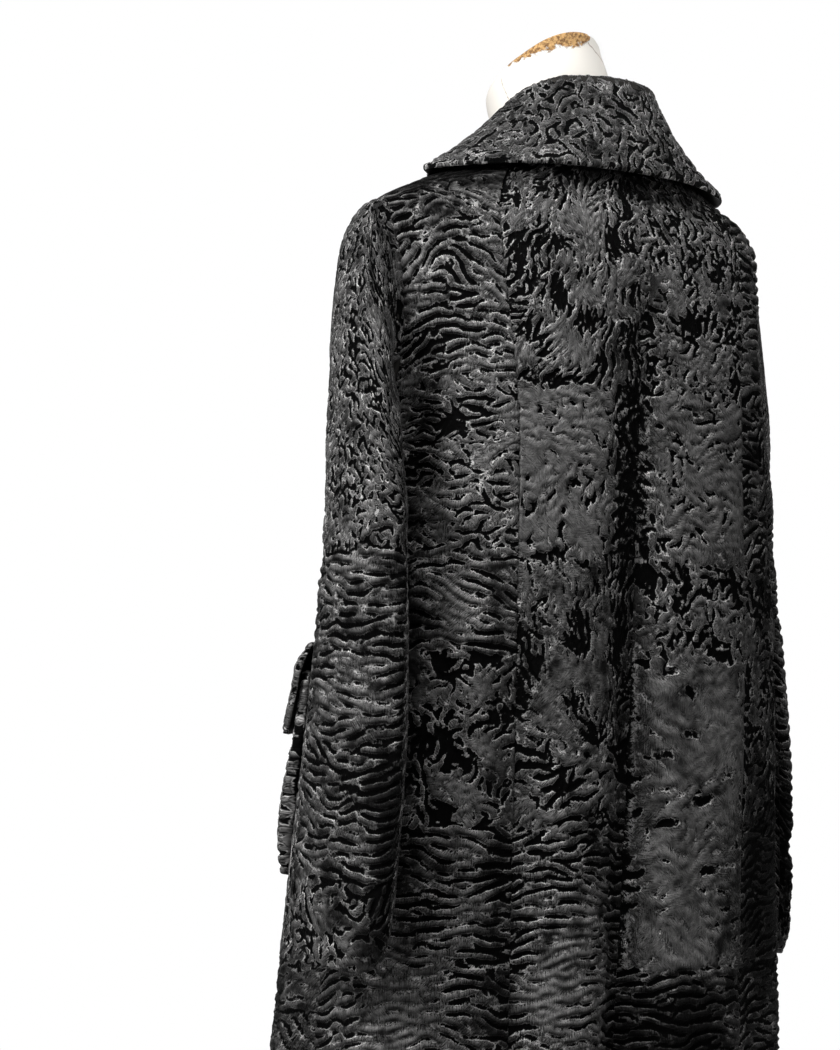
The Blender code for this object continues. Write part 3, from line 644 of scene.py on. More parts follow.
def peltPiece(name, nodes, points, outward, thick, blocks, seed, free=(), still=1.0,
              coarse=6, downward=False, deep=0.0, shade=0.0):
    # points run upward by row; blocks are (top height, look, changes) upward too, None for a single one
    rows, columns = points.shape[:2]
    middle = columns // 2
    across = arcs(points, 1)
    along = arcs(points, 0)
    distances = {
        "left": across,
        "right": across[:, -1:] - across,
        "bottom": along,
        "top": along[-1:] - along,
    }
    x = across - across[:, middle:middle + 1]
    y = np.repeat(along[:, middle:middle + 1], columns, 1)
    deep = np.broadcast_to(deep, (rows, columns))
    found = {field: np.zeros((rows, columns)) for field in ("lift", "slopeLighting", "tone", "combX", "combY")}
    seams = np.full((rows, columns), 1.0)
    rng = np.random.default_rng(seed)
    start = 0
    below = np.ones((rows, columns))
    for number, (top, look, changes) in enumerate(blocks):
        above = np.zeros((rows, columns))
        if number < len(blocks) - 1:
            start = min(max(int(np.searchsorted(points[:, middle, 2], top)), start + 1), rows)
            line = y[start - 1:start, :] + pile["join"] * sum(
                np.sin(x[:1] / size + rng.uniform(0, 6.3)) * share for size, share in pile["joinWaves"]
            )
            above = smoothStep((y - line) / pile["joinSoft"] + 0.5)
            seams = np.minimum(seams, np.abs(y - line))
        share = below - above
        below = above
        used = np.where(share.max(1) > 0)[0]
        if len(used):
            piecePart = slice(used[0], used[-1] + 1)
            localX = x[piecePart]
            localY = y[piecePart] - (y[used[0], 0] + y[used[-1], 0]) / 2
            width = 2 * np.abs(localX).max() + 0.01
            height = 2 * np.abs(localY).max() + 0.01
            pattern = curlPattern(width, height, {**curlLooks[look], **changes}, seed * 100 + number)
            for field in found:
                found[field][piecePart] += readPattern(pattern, field, localX, localY) * share[piecePart]
            level = changes.get("level", curlLooks[look]["level"])
            opened = np.maximum(deep, 0) * (level - pile["openLevel"]) + np.minimum(deep, 0) * pile["closing"]
            found["lift"][piecePart] -= (opened * share)[piecePart]
            found["tone"][piecePart] += changes.get("tone", 0.0) * share[piecePart]

    lift = found["lift"]
    bulk = pile["bulkShare"]
    relief = (1 - bulk) * (1 - np.tanh(pile["steepness"] * lift)) / 2
    relief = relief + bulk * (1 - lift / pile["highest"]) / 2
    dip, dipWidth = pile["joinDip"]
    line, lineWidth = pile["joinLine"]
    sink = pile["depth"] * relief * still + pile["depth"] * pile["stillLevel"] * (1 - still)
    sink = sink + dip * np.exp(-((seams / dipWidth) ** 2))
    for side, away in distances.items():
        if side in free:
            sink = sink + edgeRoll(away)
        else:
            sink = sink + pile["seamDip"] * np.exp(-((away / pile["seamSpread"]) ** 2))
    thick = np.broadcast_to(thick, (rows, columns))
    sink = np.clip(sink, 0, thick - pile["leather"]) - pile["crest"]
    outer = points - outward * sink[..., None]
    inner = points - outward * thick[..., None]

    rowPicks = picked(rows, coarse)
    columnPicks = picked(columns, coarse)
    kept = np.ix_(rowPicks, columnPicks)
    outerNumbers = np.arange(rows * columns).reshape(rows, columns)
    innerNumbers = rows * columns + np.arange(len(rowPicks) * len(columnPicks)).reshape(len(rowPicks), -1)
    outerQuads = quadsOf(outerNumbers)
    strips = zipped(outerNumbers[0], innerNumbers[0], columnPicks)
    strips += zipped(outerNumbers[:, -1], innerNumbers[:, -1], rowPicks)
    strips += zipped(outerNumbers[-1, ::-1], innerNumbers[-1, ::-1], columns - 1 - columnPicks[::-1])
    strips += zipped(outerNumbers[::-1, 0], innerNumbers[::-1, 0], rows - 1 - rowPicks[::-1])
    triangles = np.array(strips)
    quads = np.concatenate([outerQuads, quadsOf(innerNumbers)[:, ::-1]])
    firstNormal = np.cross(points[1, 1] - points[0, 0], points[1, 0] - points[0, 1])
    if np.dot(firstNormal, outward[0, 0]) < 0:
        quads = quads[:, ::-1]
        triangles = triangles[:, ::-1]
    allPoints = np.concatenate([outer.reshape(-1, 3), inner[kept].reshape(-1, 3)])
    materials = (peltMaterial, leatherMaterial)
    piece = meshOf(name + "_pelt", allPoints, quads, triangles, len(outerQuads), materials)

    fromSide = np.minimum(distances["left"], distances["right"])
    left, whole = pile["sideFade"]
    tone = found["tone"] * smoothStep(left + fromSide / whole)
    fields = {
        "lift": lift - line * np.exp(-((seams / lineWidth) ** 2)),
        # shade adds the zones' painted shade to the tone
        "tone": np.minimum(tone + shade, pile["brightest"]),
        # the collar's fall hangs upside down, so its painted light and shade by slope is turned over
        "slopeLighting": -found["slopeLighting"] if downward else found["slopeLighting"],
        "deep": np.maximum(deep, 0),
        "comb": np.stack([found["combX"], found["combY"], 0 * x], -1),
        "flat": np.stack([x + 3.1 * seed, y + 1.7 * seed, 0 * x], -1),
    }
    for field, values in fields.items():
        part = values.shape[2:]
        both = [values.reshape(-1, *part), values[kept].reshape(-1, *part)]
        addAttribute(piece, field, np.concatenate(both))

    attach(piece, "root")
    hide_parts(*nodes)
    width = across[:, -1].max()
    length = along[-1].max()
    cells = np.cross(points[1:, 1:] - points[:-1, :-1], points[1:, :-1] - points[:-1, 1:])
    area = float(np.linalg.norm(cells, axis=-1).sum() / 2)
    width = max(width, area / length)
    cut = f"cut {width:.3f} by {length:.3f} m, {area:.4f} m2"
    print(f"{name}: {len(outerQuads) * 2} triangles outside, {cut}")


def places(first, last, spacing, softFirst=False, softLast=False):
    # even places from first to last in metres, with more beside a rolled edge
    count = max(2, round((last - first) / spacing))
    even = np.linspace(first, last, count + 1)
    extra = np.array([0.0003, 0.0009, 0.0017, 0.0028])
    beyond = 0.0036
    if softFirst:
        even = np.concatenate([[first], first + extra, even[even > first + beyond]])
    if softLast:
        even = np.concatenate([even[even < last - beyond], last - extra[::-1], [last]])
    return even


def zoneAmounts(degrees, height, zones):
    # how open the pile is, or below 0 how closed, and how its tone shifts; most tones below 0 are painted
    # shade
    deep = np.zeros(degrees.shape)
    tone = np.zeros(degrees.shape)
    for middle, level, halfWidth, halfHeight, slant, openness, shade in zones:
        away = wrapped(degrees - middle - slant * (height - level))
        share = np.exp(-((away / halfWidth) ** 2) - ((height - level) / halfHeight) ** 4)
        deep = deep + share * openness
        tone = tone + share * shade
    return np.clip(deep, -1, 1), tone


creaseShape = {
    "taper": (0.12, 0.76),  # start and run of the half wave that lets both ends fade
    "ridge": 0.30,  # height of the ridge beside it, as a share of the depth
    "ridgeAway": 1.9,
    "ridgeWidth": 0.8,
}


def creaseDepth(degrees, height, creases, perDegree):
    # each crease is a soft trough with a low ridge along both sides
    taperStart, taperRun = creaseShape["taper"]
    sunk = np.zeros(degrees.shape)
    for firstAngle, firstHeight, lastAngle, lastHeight, width, depth in creases:
        across = wrapped(degrees - firstAngle) * perDegree
        climb = height - firstHeight
        run = np.array([(lastAngle - firstAngle) * perDegree, lastHeight - firstHeight])
        length = np.hypot(*run)
        share = np.clip((across * run[0] + climb * run[1]) / length**2, 0, 1)
        away = np.hypot(across - share * run[0], climb - share * run[1]) / width
        taper = np.sin(math.pi * (taperStart + taperRun * share))
        beside = np.exp(-(((away - creaseShape["ridgeAway"]) / creaseShape["ridgeWidth"]) ** 2))
        sunk = sunk + depth * taper * (np.exp(-(away**2)) - creaseShape["ridge"] * beside)
    return sunk


coarser = 1.0
widthSamples = 60  # points that a width or a length is measured over
runSamples = 80

# Body panels
bodyLook = {
    "spacing": {
        "back_centre_left": 0.0018,
        "back_centre_right": 0.0019,
        "back_side_left": 0.0018,
        "back_side_right": 0.0026,
        "front_left": 0.0036,
        "front_right": 0.0036,
    },
    # angle, height, half width in degrees, half height, degrees per metre up, openness, tone.
    # Most tones below 0 are painted shade: in the hanging folds, down the centre back, in creases,
    # beside the sleeve and on the far right side; tones above 0 are lighter sleek patches.
    "zones": (
        (2, 0.78, 8.5, 0.47, 3.5, 1, -1.2),
        (4, 1.12, 11, 0.12, 0, 1, -0.8),
        (48, 0.68, 4.2, 0.35, 10, 1, -1.4),
        (71, 1.165, 5, 0.065, 0, 0.9, -1),
        (70, 0.88, 5.4, 0.25, 13, 0.8, -2.4),
        (78, 1.33, 7, 0.022, 0, 0.1, -0.8),
        (57, 1.368, 6, 0.022, 0, -0.9, 0.6),
        (41, 1.285, 5, 0.018, 0, 1, -1),
        (15, 1.215, 5, 0.022, 0, 1, -1),
        (-6, 1.28, 6, 0.013, 0, 0.9, -0.9),
        (47, 1.19, 4, 0.012, 0, 0.8, -0.8),
        (44, 0.955, 8, 0.045, 0, 0.15, -0.8),
        (20, 0.8, 8, 0.035, 0, 0.9, -1.1),
        (33, 0.68, 7, 0.038, 0, -0.9, 0.4),
        (67, 0.635, 6, 0.095, 12, -1.2, 1.2),
        (90, 0.62, 13, 0.09, 0, 0.15, -0.9),
        (106, 0.66, 16, 0.08, 0, 0.1, -1.2),
        (-37, 1.035, 7, 0.02, 0, 0.6, -0.8),
        (-30, 1.17, 9, 0.008, 0, 0.8, -0.8),
        (-16, 0.946, 4.5, 0.005, 0, 1, -0.6),
        (-24, 0.929, 5, 0.0055, 0, 1, -0.6),
        (-24, 0.892, 5, 0.005, 0, 1, -0.6),
        (-14, 0.874, 4, 0.0045, 0, 1, -0.6),
        (-29, 0.834, 5.5, 0.005, 0, 1, -0.6),
        (-16, 0.815, 5, 0.005, 0, 1, -0.6),
        (-33, 0.775, 4.5, 0.005, 0, 1, -0.6),
        (-62, 1, 15, 0.28, 0, 0.3, -0.9),
        (-57, 0.745, 15, 0.09, 0, 1, -2.2),
        (-25, 0.62, 19, 0.055, 0, 0.9, -2.2),
        (-62, 0.5, 10, 0.12, 0, 0.4, -0.9),
        (118, 0.6, 6, 0.22, 0, 0.5, -0.9),
        (150, 0.8, 5, 0.4, 4, 0.7, -0.8),
        (208, 0.78, 5, 0.4, -4, 0.8, -0.8),
        (241, 0.7, 5, 0.32, 0, 0.6, -0.9),
        (250, 1.165, 6, 0.07, 0, 0.8, -1),
        (112, 1.165, 6, 0.07, 0, 0.8, -1),
    ),
    "collarShadow": (1.344, 0.018, 0.5, -2.2),  # painted shadow under the collar's edge: height, height that it takes, openness, tone
    # angle and height of both ends, half width, depth
    "creases": (
        (73, 1.250, 70, 1.085, 0.015, 0.0050),
        (70, 1.110, 62, 0.985, 0.012, 0.0030),
        (42, 1.298, 12, 1.205, 0.011, 0.0032),
        (-16, 1.292, 7, 1.212, 0.011, 0.0030),
        (-73, 1.250, -70, 1.085, 0.015, 0.0050),
        (-70, 1.110, -60, 0.985, 0.012, 0.0030),
        (108, 1.235, 113, 1.090, 0.015, 0.0045),
        (112, 1.110, 124, 1.000, 0.012, 0.0030),
        (-108, 1.235, -113, 1.090, 0.015, 0.0045),
        (-112, 1.110, -126, 1.000, 0.012, 0.0030),
        (132, 1.300, 152, 1.190, 0.012, 0.0028),
        (-132, 1.300, -152, 1.190, 0.012, 0.0028),
        (30, 0.560, 44, 0.400, 0.016, 0.0035),
        (-30, 0.540, -42, 0.400, 0.016, 0.0035),
    ),
    "perDegree": 0.0030,
    # top height of each pelt from the hem up, its curl and what differs in it. The low tones of the
    # right-hand back panels are partly their own darker pelts and partly painted shade on that side.
    "pelts": {
        "back_centre_left": (
            (0.52, "ridges", dict(arch=-10, level=0.55, tone=-0.3)),
            (0.69, "ridges", dict(arch=-14, level=0.55, tone=-0.3)),
            (0.81, "ridges", dict(arch=-10, level=0.60, wave=0.0098, tone=-0.2)),
            (0.885, "smooth", dict(run=0, level=0.95, grain=2.6, tone=-0.1)),
            (1.04, "feather", dict(run=82, arch=-34, level=0.30, lean=15, tiltX=0.3, tone=-0.4)),
            (1.187, "smooth", dict(run=75, level=2.35, tiltX=0.60, wave=0.0125, patchy=0.50, patchSize=0.020,
                                   trails=4.2, trailSize=0.018, trailWidth=0.26, trailShare=0.70, tone=0.7)),
            (9, "feather", dict(run=105, arch=25, level=0.16, tone=0.7)),
        ),
        "back_centre_right": (
            (0.52, "ridges", dict(arch=-10, level=0.35, tone=-1.2)),
            (0.69, "ridges", dict(arch=-12, level=0.30, tone=-0.9)),
            (0.955, "smooth", dict(level=2.75, run=5, grain=2.4, wave=0.017, patchSize=0.03,
                                   trailShare=-0.2, tone=0.1)),
            (1.04, "worms", dict(level=0.35, wave=0.0125, run=0, grain=1.5, tiltX=-0.5, tone=0.3)),
            (1.187, "smooth", dict(level=2.15, patchy=0.8, patchSize=0.022, trailShare=0.2, tone=0.9)),
            (9, "worms", dict(level=0.35, run=70, grain=1.2, tone=0.6)),
        ),
        "back_side_left": (
            (0.52, "ridges", dict(arch=-14, level=0.50, tone=-0.3)),
            (0.69, "ridges", dict(arch=-14, level=0.50, tone=0.0)),
            (0.81, "ridges", dict(arch=-10, level=0.45, tone=0.1)),
            (0.955, "worms", dict(run=88, grain=1.2, sway=50, level=0.25, patchy=1.0, tone=0.9)),
            (1.04, "ridges", dict(arch=-8, level=0.72, tone=0.2)),
            (1.187, "worms", dict(level=0.55, run=8, grain=2.4, sway=32, patchy=0.6, tone=0.5)),
            (9, "ridges", dict(arch=-42, wave=0.0098, level=0.62, grain=3.6, sway=20, fray=0.26, tone=0.0)),
        ),
        "back_side_right": (
            (0.52, "ridges", dict(arch=-14, tone=-1.2)),
            (0.69, "ridges", dict(arch=-14, level=0.2, tone=-1.0)),
            (0.81, "ridges", dict(arch=-12, tone=-0.6)),
            (1.04, "worms", dict(level=0.15, sway=40, tone=-0.5)),
            (1.187, "ridges", dict(level=0.10, sway=20, tone=-0.5)),
            (9, "ridges", dict(arch=-20)),
        ),
    },
    "frontPelts": (
        (0.52, "ridges", dict(arch=-12, tone=-0.5)),
        (0.69, "ridges", dict(arch=-12, tone=-0.3)),
        (0.81, "worms", dict(level=0.4)),
        (1.04, "ridges", dict(level=0.5, sway=20)),
        (1.187, "smooth", dict(level=1.1)),
    ),
}
for side, run in (("left", 50), ("right", 130)):
    bodyLook["pelts"][f"front_{side}"] = (*bodyLook["frontPelts"], (9, "feather", dict(run=run)))


def bodyPanel(name, lowEdge, highEdge, seed, free, mirrored=False, lift=None, stillness=None):
    spacing = bodyLook["spacing"][name] * coarser
    skirt = places(coat["hem"], coat["armholeBottom"], spacing, softFirst=True)
    beside = armholeOval(np.linspace(math.pi, 0, round(math.pi * armholeHalf / spacing)))[1]
    shoulder = np.linspace(coat["armholeTop"], coat["neckline"], round(coat["shoulderRun"] / spacing))
    rows = np.concatenate([skirt, beside[1:], shoulder[1:]])
    section = coatSection(rows)
    gap = coat["seamGap"] / 2 / np.minimum(section[1], section[0])
    low = lowEdge(rows) + gap
    high = highEdge(rows) - gap
    hem = coatBase(low[0] + (high[0] - low[0]) * np.linspace(0, 1, widthSamples)[None], rows[:1, None])
    width = float(arcs(hem, 1)[0, -1])
    share = places(0.0, width, spacing, softLast="right" in free)[None, :] / width
    angle = low[:, None] + (high - low)[:, None] * share
    height = np.repeat(rows[:, None], angle.shape[1], 1)
    if mirrored:
        angle = 2 * math.pi - angle
    outward = coatOutward(angle, height)
    degrees = np.degrees(angle)
    shift = 0.0 if lift is None else lift(angle, height)
    shift = shift - creaseDepth(degrees, height, bodyLook["creases"], bodyLook["perDegree"])
    points = coatBase(angle, height) + outward * shift[..., None]
    still = 1.0 if stillness is None else stillness(angle, height)
    nodes = (f"{name}_lower", f"{name}_upper")
    # zones: open or closed pile, and painted shade in folds, creases and shaded parts
    deep, shade = zoneAmounts(degrees, height, bodyLook["zones"])
    # painted shadow on the body under the collar's edge
    start, over, openness, darker = bodyLook["collarShadow"]
    under = smoothStep((height - start) / over)
    deep = np.clip(deep + under * openness, -1, 1)
    peltPiece(name, nodes, points, outward, coat["peltThick"], bodyLook["pelts"][name], seed, free, still,
              deep=deep, shade=shade + under * darker)


def centreLine(rows):
    return np.zeros(len(rows))


def princessEdge(rows):
    return np.radians(princessAngle(rows)[0])


def sideBack(rows):
    return angleAtDepth(coat["armholeBack"] * armholeShare(rows), rows)


def sideFront(rows):
    return angleAtDepth(-coat["armholeFront"] * armholeShare(rows), rows)


def lapEdge(rows):
    return math.pi + coat["frontOverlap"] / coatSection(rows)[2]


def underLap(angle, height):
    dipFrom = 2 * math.pi - lapEdge(height) - coat["lapDipAngle"] - coat["lapDipMargin"]
    return -(coat["peltThick"] + coat["lapClearance"]) * smoothStep((angle - dipFrom) / coat["lapDipAngle"])


def lapStillness(angle, height):
    # the pile lies still where the other front covers it
    dipFrom = 2 * math.pi - lapEdge(height) - coat["lapDipAngle"]
    return 1 - smoothStep((angle - dipFrom) / coat["lapStillAngle"])


hemOnly = ("bottom",)
hemAndEdge = ("bottom", "right")
backPanels = (("back_centre", centreLine, princessEdge, 11), ("back_side", princessEdge, sideBack, 13))
for panel, lowEdge, highEdge, seed in backPanels:
    bodyPanel(f"{panel}_left", lowEdge, highEdge, seed, hemOnly)
    bodyPanel(f"{panel}_right", lowEdge, highEdge, seed + 1, hemOnly, mirrored=True)
bodyPanel("front_left", sideFront, lapEdge, 15, hemAndEdge, lift=underLap, stillness=lapStillness)
bodyPanel("front_right", sideFront, lapEdge, 16, hemAndEdge, mirrored=True)
print("body: six panels")

# Sleeves
sleeves = {
    # height, centre x, centre y, half thickness, half width, turn in degrees
    "sections": {
        "left": (
            (1.060, 0.240, 0.051, 0.023, 0.059, 7.0),
            (0.950, 0.247, 0.060, 0.027, 0.063, 5.0),
            (0.850, 0.254, 0.065, 0.029, 0.067, 4.0),
            (0.750, 0.261, 0.066, 0.029, 0.066, 3.0),
            (0.715, 0.263, 0.066, 0.028, 0.063, 2.0),
            (0.690, 0.265, 0.065, 0.024, 0.053, 0.0),
        ),
        "right": (
            (1.060, 0.235, -0.027, 0.020, 0.062, -3.0),
            (0.950, 0.246, -0.021, 0.024, 0.064, -3.0),
            (0.850, 0.254, -0.018, 0.025, 0.066, -3.0),
            (0.750, 0.259, -0.018, 0.025, 0.065, -3.0),
            (0.715, 0.261, -0.019, 0.024, 0.062, -3.0),
            (0.690, 0.262, -0.020, 0.021, 0.053, -3.0),
        ),
    },
    "capShare": 7 / 15,  # part of the sleeve's run taken by the cap
    "backSeam": 108.0,
    "frontSeam": 288.0,
    "cuffLowest": 62.0,
    "cuffSlant": 0.034,
    "cuffTuck": 0.042,
    "cuffTuckAngle": 162.0,
    "cuffTuckSpread": 42.0,
    "clearance": -0.0004,  # below 0 the pile of sleeve and body meets in the armhole
    "seamRadius": 0.030,
    "measuredAt": (0.2, 0.6),  # parts of its run where a sleeve's width is measured
    "turnShare": 0.07,  # part of the run where the wall turns from the body's normal to its own
    "capLead": {"left": (0.013, 0.016), "right": (0.011, 0.004)},
    "capLean": 0.36,
    "capDrop": {"left": (0.026, 0.145), "right": (0.026, 0.080)},
    "spacing": {"left_top": 0.0018, "left_under": 0.0030, "right_top": 0.0024, "right_under": 0.0030},
    "pelts": {
        "left_top": (
            (0.765, "smooth", dict(level=0.7, tone=-1.1)),
            (1.035, "ridges", dict(wave=0.0102, arch=-10, level=0.50, tone=-1.0)),
            (9, "worms", dict(wave=0.0098, level=0.30, patchy=0.6, tone=-0.2)),
        ),
        "left_under": ((0.765, "worms", {}), (1.00, "ridges", {}), (9, "worms", {})),
        "right_top": ((0.765, "worms", {}), (1.00, "ridges", dict(arch=10)), (9, "ridges", dict(arch=-14))),
        "right_under": ((0.765, "worms", {}), (1.00, "ridges", {}), (9, "worms", {})),
    },
    # as the body's, with the turn about the sleeve as angle; the tones below 0 paint shade on
    # the sleeve's side beside the body, down to its cuff
    "zones": (
        (104, 0.930, 20, 0.180, 0, 0.60, -1.4),
        (84, 0.775, 27, 0.085, 0, 1.00, -2.0),
        (15, 1.060, 40, 0.120, 0, 0.00, 0.1),
    ),
    "creases": (
        (114, 1.050, 66, 1.004, 0.009, 0.0036),
        (112, 0.985, 78, 0.958, 0.008, 0.0026),
        (-66, 1.040, -18, 1.006, 0.009, 0.0030),
        (20, 0.812, 84, 0.780, 0.010, 0.0030),
        (150, 0.900, 200, 0.870, 0.010, 0.0030),
        (96, 1.200, 60, 1.120, 0.011, 0.0034),
        (-50, 1.190, -20, 1.110, 0.011, 0.0030),
    ),
    "perDegree": 0.0008,
}


def sleeveSurface(side):
    sections = sleeves["sections"][side]
    sign = 1 if side == "left" else -1
    read = smoothTable(sections[::-1])
    top = sections[0][0]
    cuff = sections[-1][0]
    capShare = sleeves["capShare"]
    leadLow, leadMore = sleeves["capLead"][side]
    dropLow, dropMore = sleeves["capDrop"][side]

    def levelSection(around, height):
        centreX, centreY, halfThick, halfWide, turn = read(height)
        turn = np.radians(turn)
        thick = halfThick * np.cos(around)
        wide = halfWide * np.sin(around)
        x = centreX + thick * np.cos(turn) + wide * np.sin(turn)
        y = centreY - thick * np.sin(turn) + wide * np.cos(turn)
        return np.stack([x, y, height + 0 * x], -1)

    def armholeRing(around):
        depth, height = armholeOval(around)
        height = armholeMiddle + (height - armholeMiddle) * (1 - sleeves["clearance"] / armholeHalf)
        depth = depth * (1 - sleeves["clearance"] / coat["armholeBack"])
        return coatPoint(angleAtDepth(depth, height), height)

    def surface(around, place):
        around, place = np.broadcast_arrays(around, place)
        start = armholeRing(around)
        end = levelSection(around, np.full(around.shape, top))
        raised = (1 + np.cos(around)) / 2
        out = leadLow + leadMore * raised
        lead = np.stack([out, 0 * out, sleeves["capLean"] * out * raised], -1)
        rise = np.stack([0 * out, 0 * out, dropLow + dropMore * raised], -1)
        t = np.clip(place / capShare, 0, 1)[..., None]
        cap = cubic(t, start, start + lead, end + rise, end)
        slant = sleeves["cuffSlant"] * (1 - np.cos(around - math.radians(sleeves["cuffLowest"]))) / 2
        away = wrapped(np.degrees(around) - sleeves["cuffTuckAngle"])
        lift = slant + sleeves["cuffTuck"] * np.exp(-((away / sleeves["cuffTuckSpread"]) ** 2))
        s = np.clip((place - capShare) / (1 - capShare), 0, None)
        hanging = levelSection(around, top + (cuff + lift - top) * s)
        point = np.where(place[..., None] <= capShare, cap, hanging)
        return point * np.array([sign, 1, 1])

    return surface


def sleevePiece(side, part, first, last, seed):
    surface = sleeveSurface(side)
    spacing = sleeves["spacing"][f"{side}_{part}"] * coarser
    gap = coat["seamGap"] / 2 / sleeves["seamRadius"]
    firstAngle = math.radians(first) + gap
    lastAngle = math.radians(last) - gap
    levels = np.array(sleeves["measuredAt"])[:, None]
    rough = surface(np.linspace(firstAngle, lastAngle, widthSamples)[None, :], levels)
    width = float(arcs(rough, 1)[:, -1].max())
    shares = np.linspace(0, 1, runSamples)
    roughRun = surface(np.array([[(firstAngle + lastAngle) / 2]]), shares[:, None])
    run = arcs(roughRun, 0)[:, 0]
    wanted = places(0.0, float(run[-1]), spacing, softLast=True)
    place = np.interp(wanted, run, shares)
    around = firstAngle + (lastAngle - firstAngle) * places(0.0, width, spacing) / width
    u, v = np.meshgrid(around, place[::-1])
    points = surface(u, v)
    outward = normalsOf(surface, u, np.clip(v, 0.004, 0.996), 0.001, 0.002)
    if side == "left":
        outward = -outward
    depth, height = armholeOval(u)
    bodyOutward = coatOutward(angleAtDepth(depth, height), height) * [1 if side == "left" else -1, 1, 1]
    outward = unit(outward + (bodyOutward - outward) * smoothStep(1 - v / sleeves["turnShare"])[..., None])
    degrees = np.degrees(u)
    sunk = creaseDepth(degrees, points[..., 2], sleeves["creases"], sleeves["perDegree"])
    # zones: open or closed pile, and painted shade on the sleeve's side beside the body
    deep, shade = zoneAmounts(degrees, points[..., 2], sleeves["zones"])
    points = points - outward * sunk[..., None]
    name = f"sleeve_{side}_{part}"
    peltPiece(name, (name,), points, outward, coat["peltThick"], sleeves["pelts"][f"{side}_{part}"], seed,
              hemOnly, deep=deep, shade=shade)


for sideNumber, side in enumerate(("left", "right")):
    sleevePiece(side, "top", sleeves["frontSeam"] - 360, sleeves["backSeam"], 21 + sideNumber)
    sleevePiece(side, "under", sleeves["backSeam"], sleeves["frontSeam"], 23 + sideNumber)
print("sleeves: two pieces each")

# Collar
collar = {
    # angle, stand, edge height, edge lift, puff
    "sections": (
        (0, 0.062, 1.374, 0.0130, 0.003),
        (40, 0.060, 1.373, 0.0130, 0.003),
        (70, 0.048, 1.370, 0.0120, 0.004),
        (85, 0.031, 1.373, 0.0110, 0.003),
        (100, 0.018, 1.383, 0.0090, 0.002),
        (112, 0.013, 1.384, 0.0080, 0.002),
        (125, 0.012, 1.374, 0.0080, 0.002),
        (150, 0.019, 1.330, 0.0085, 0.004),
        (168, 0.021, 1.303, 0.0085, 0.005),
        (176, 0.020, 1.307, 0.0085, 0.005),
    ),
    "frontAngle": 176.0,
    "thick": 0.0055,
    "thinner": 0.0030,  # by this away from the edge
    "thinPlace": (0.012, 0.020),  # from this far from the edge, over this much
    "roll": 0.009,
    "rollPull": 0.019,
    "fallPull": 0.66,
    "seamLift": 0.0006,
    "slopeStep": 0.010,
    "columns": 330,
    "standRows": 12,
    "fallRows": 62,
    "endSteps": (0.15, 0.5, 1.0),  # degrees between the last columns at both ends
    "lastShares": (0.972, 0.984, 0.993, 0.998, 1.0),  # rows close to the edge
    "pelts": (
        (None, "worms", dict(wave=0.0102, level=0.26, patchy=0.30, run=8, sway=60, grain=1.6, fray=0.16,
                             tone=-0.2)),
    ),
}


def makeCollar():
    read = smoothTable(collar["sections"])
    columnCount = round(collar["columns"] / coarser)
    edge = collar["frontAngle"]
    ends = np.array(collar["endSteps"])
    degrees = np.linspace(-edge, edge, columnCount + 1)
    degrees = degrees[np.abs(degrees) < edge - 1.5]
    degrees = np.concatenate([[-edge], -edge + ends, degrees, edge - ends[::-1], [edge]])
    angles = np.radians(degrees)
    stand, edgeHeight, edgeLift, puff = read(np.abs(degrees))
    foot = coatBase(angles, np.full(angles.shape, coat["neckline"])) + up * collar["seamLift"]
    turnStart = stand - collar["roll"]
    low = coatPoint(angles, edgeHeight, edgeLift)
    inward = unit(coatPoint(angles, edgeHeight + collar["slopeStep"], edgeLift) - low)
    rise = unit(coatPoint(angles, edgeHeight, edgeLift + collar["slopeStep"]) - low)
    standShares = np.linspace(0, 1, round(collar["standRows"] / coarser) + 1)[:-1]
    rows = [foot + up * (turnStart * share)[:, None] for share in standShares]
    start = foot + up * turnStart[:, None]
    firstPull = start + up * collar["rollPull"]
    fall = np.linalg.norm(low - start, axis=-1)
    lastPull = low + inward * (collar["fallPull"] * fall)[:, None] + rise * puff[:, None]
    fallShares = np.linspace(0, 0.96, round(collar["fallRows"] / coarser))
    for share in (*fallShares, *collar["lastShares"]):
        rows.append(cubic(share, start, firstPull, lastPull, low))
    points = np.array(rows)
    outward = unit(np.cross(np.gradient(points, axis=1), np.gradient(points, axis=0)))
    away = arcs(points[::-1], 0)[::-1]
    thinFrom, thinOver = collar["thinPlace"]
    thick = collar["thick"] - collar["thinner"] * smoothStep((away - thinFrom) / thinOver)
    peltPiece("collar", ("collar",), points, outward, thick, collar["pelts"], 31, ("top", "left", "right"),
              coarse=5, downward=True)


makeCollar()
print("collar: made")

# Pockets and flaps
pockets = {
    "angles": (111.0, 147.0),
    "heights": (0.757, 0.935),
    "flapAngles": (110.0, 148.0),
    "flapHeights": (0.878, 0.960),
    "thick": 0.008,
    "flapThick": 0.006,
    "sag": 0.003,
    "roll": 0.005,
    "fullest": 0.58,
    "cornerRows": 0.25,
    "flapCornerRows": 0.45,
    "foldLift": 0.002,
    "flare": 0.004,
    "corner": 0.30,
    "bodyRadius": 0.2,
    "seat": 0.0004,  # room left between two layers
    "spacing": 0.0026,
    "pelts": ((None, "ridges", dict(arch=-8, level=0.4, tone=-1.3)),),
    "flapPelts": ((None, "worms", dict(level=0.4, tone=-1.5)),),
}


def pocketFullness(height):
    low, high = pockets["heights"]
    share = np.clip((height - low) / (high - low), 0, 1)
    return np.sin(math.pi * share ** pockets["fullest"]) ** 2


def pocketInner(height, across):
    return pockets["seat"] + pockets["sag"] * pocketFullness(height) * across


def pocketOuter(height, across):
    return pocketInner(height, across) + pockets["thick"] + pockets["roll"] * pocketFullness(height)


def flapInner(height, across):
    low, high = pockets["flapHeights"]
    over = smoothStep((high - height) / (high - pockets["heights"][1] - pockets["foldLift"]))
    flare = pockets["flare"] * np.clip((high - height) / (high - low), 0, 1) ** 2
    onPocket = pocketOuter(height, across) + pockets["seat"] + flare
    return pockets["seat"] + (onPocket - pockets["seat"]) * over


def flapOuter(height, across):
    return flapInner(height, across) + pockets["flapThick"]


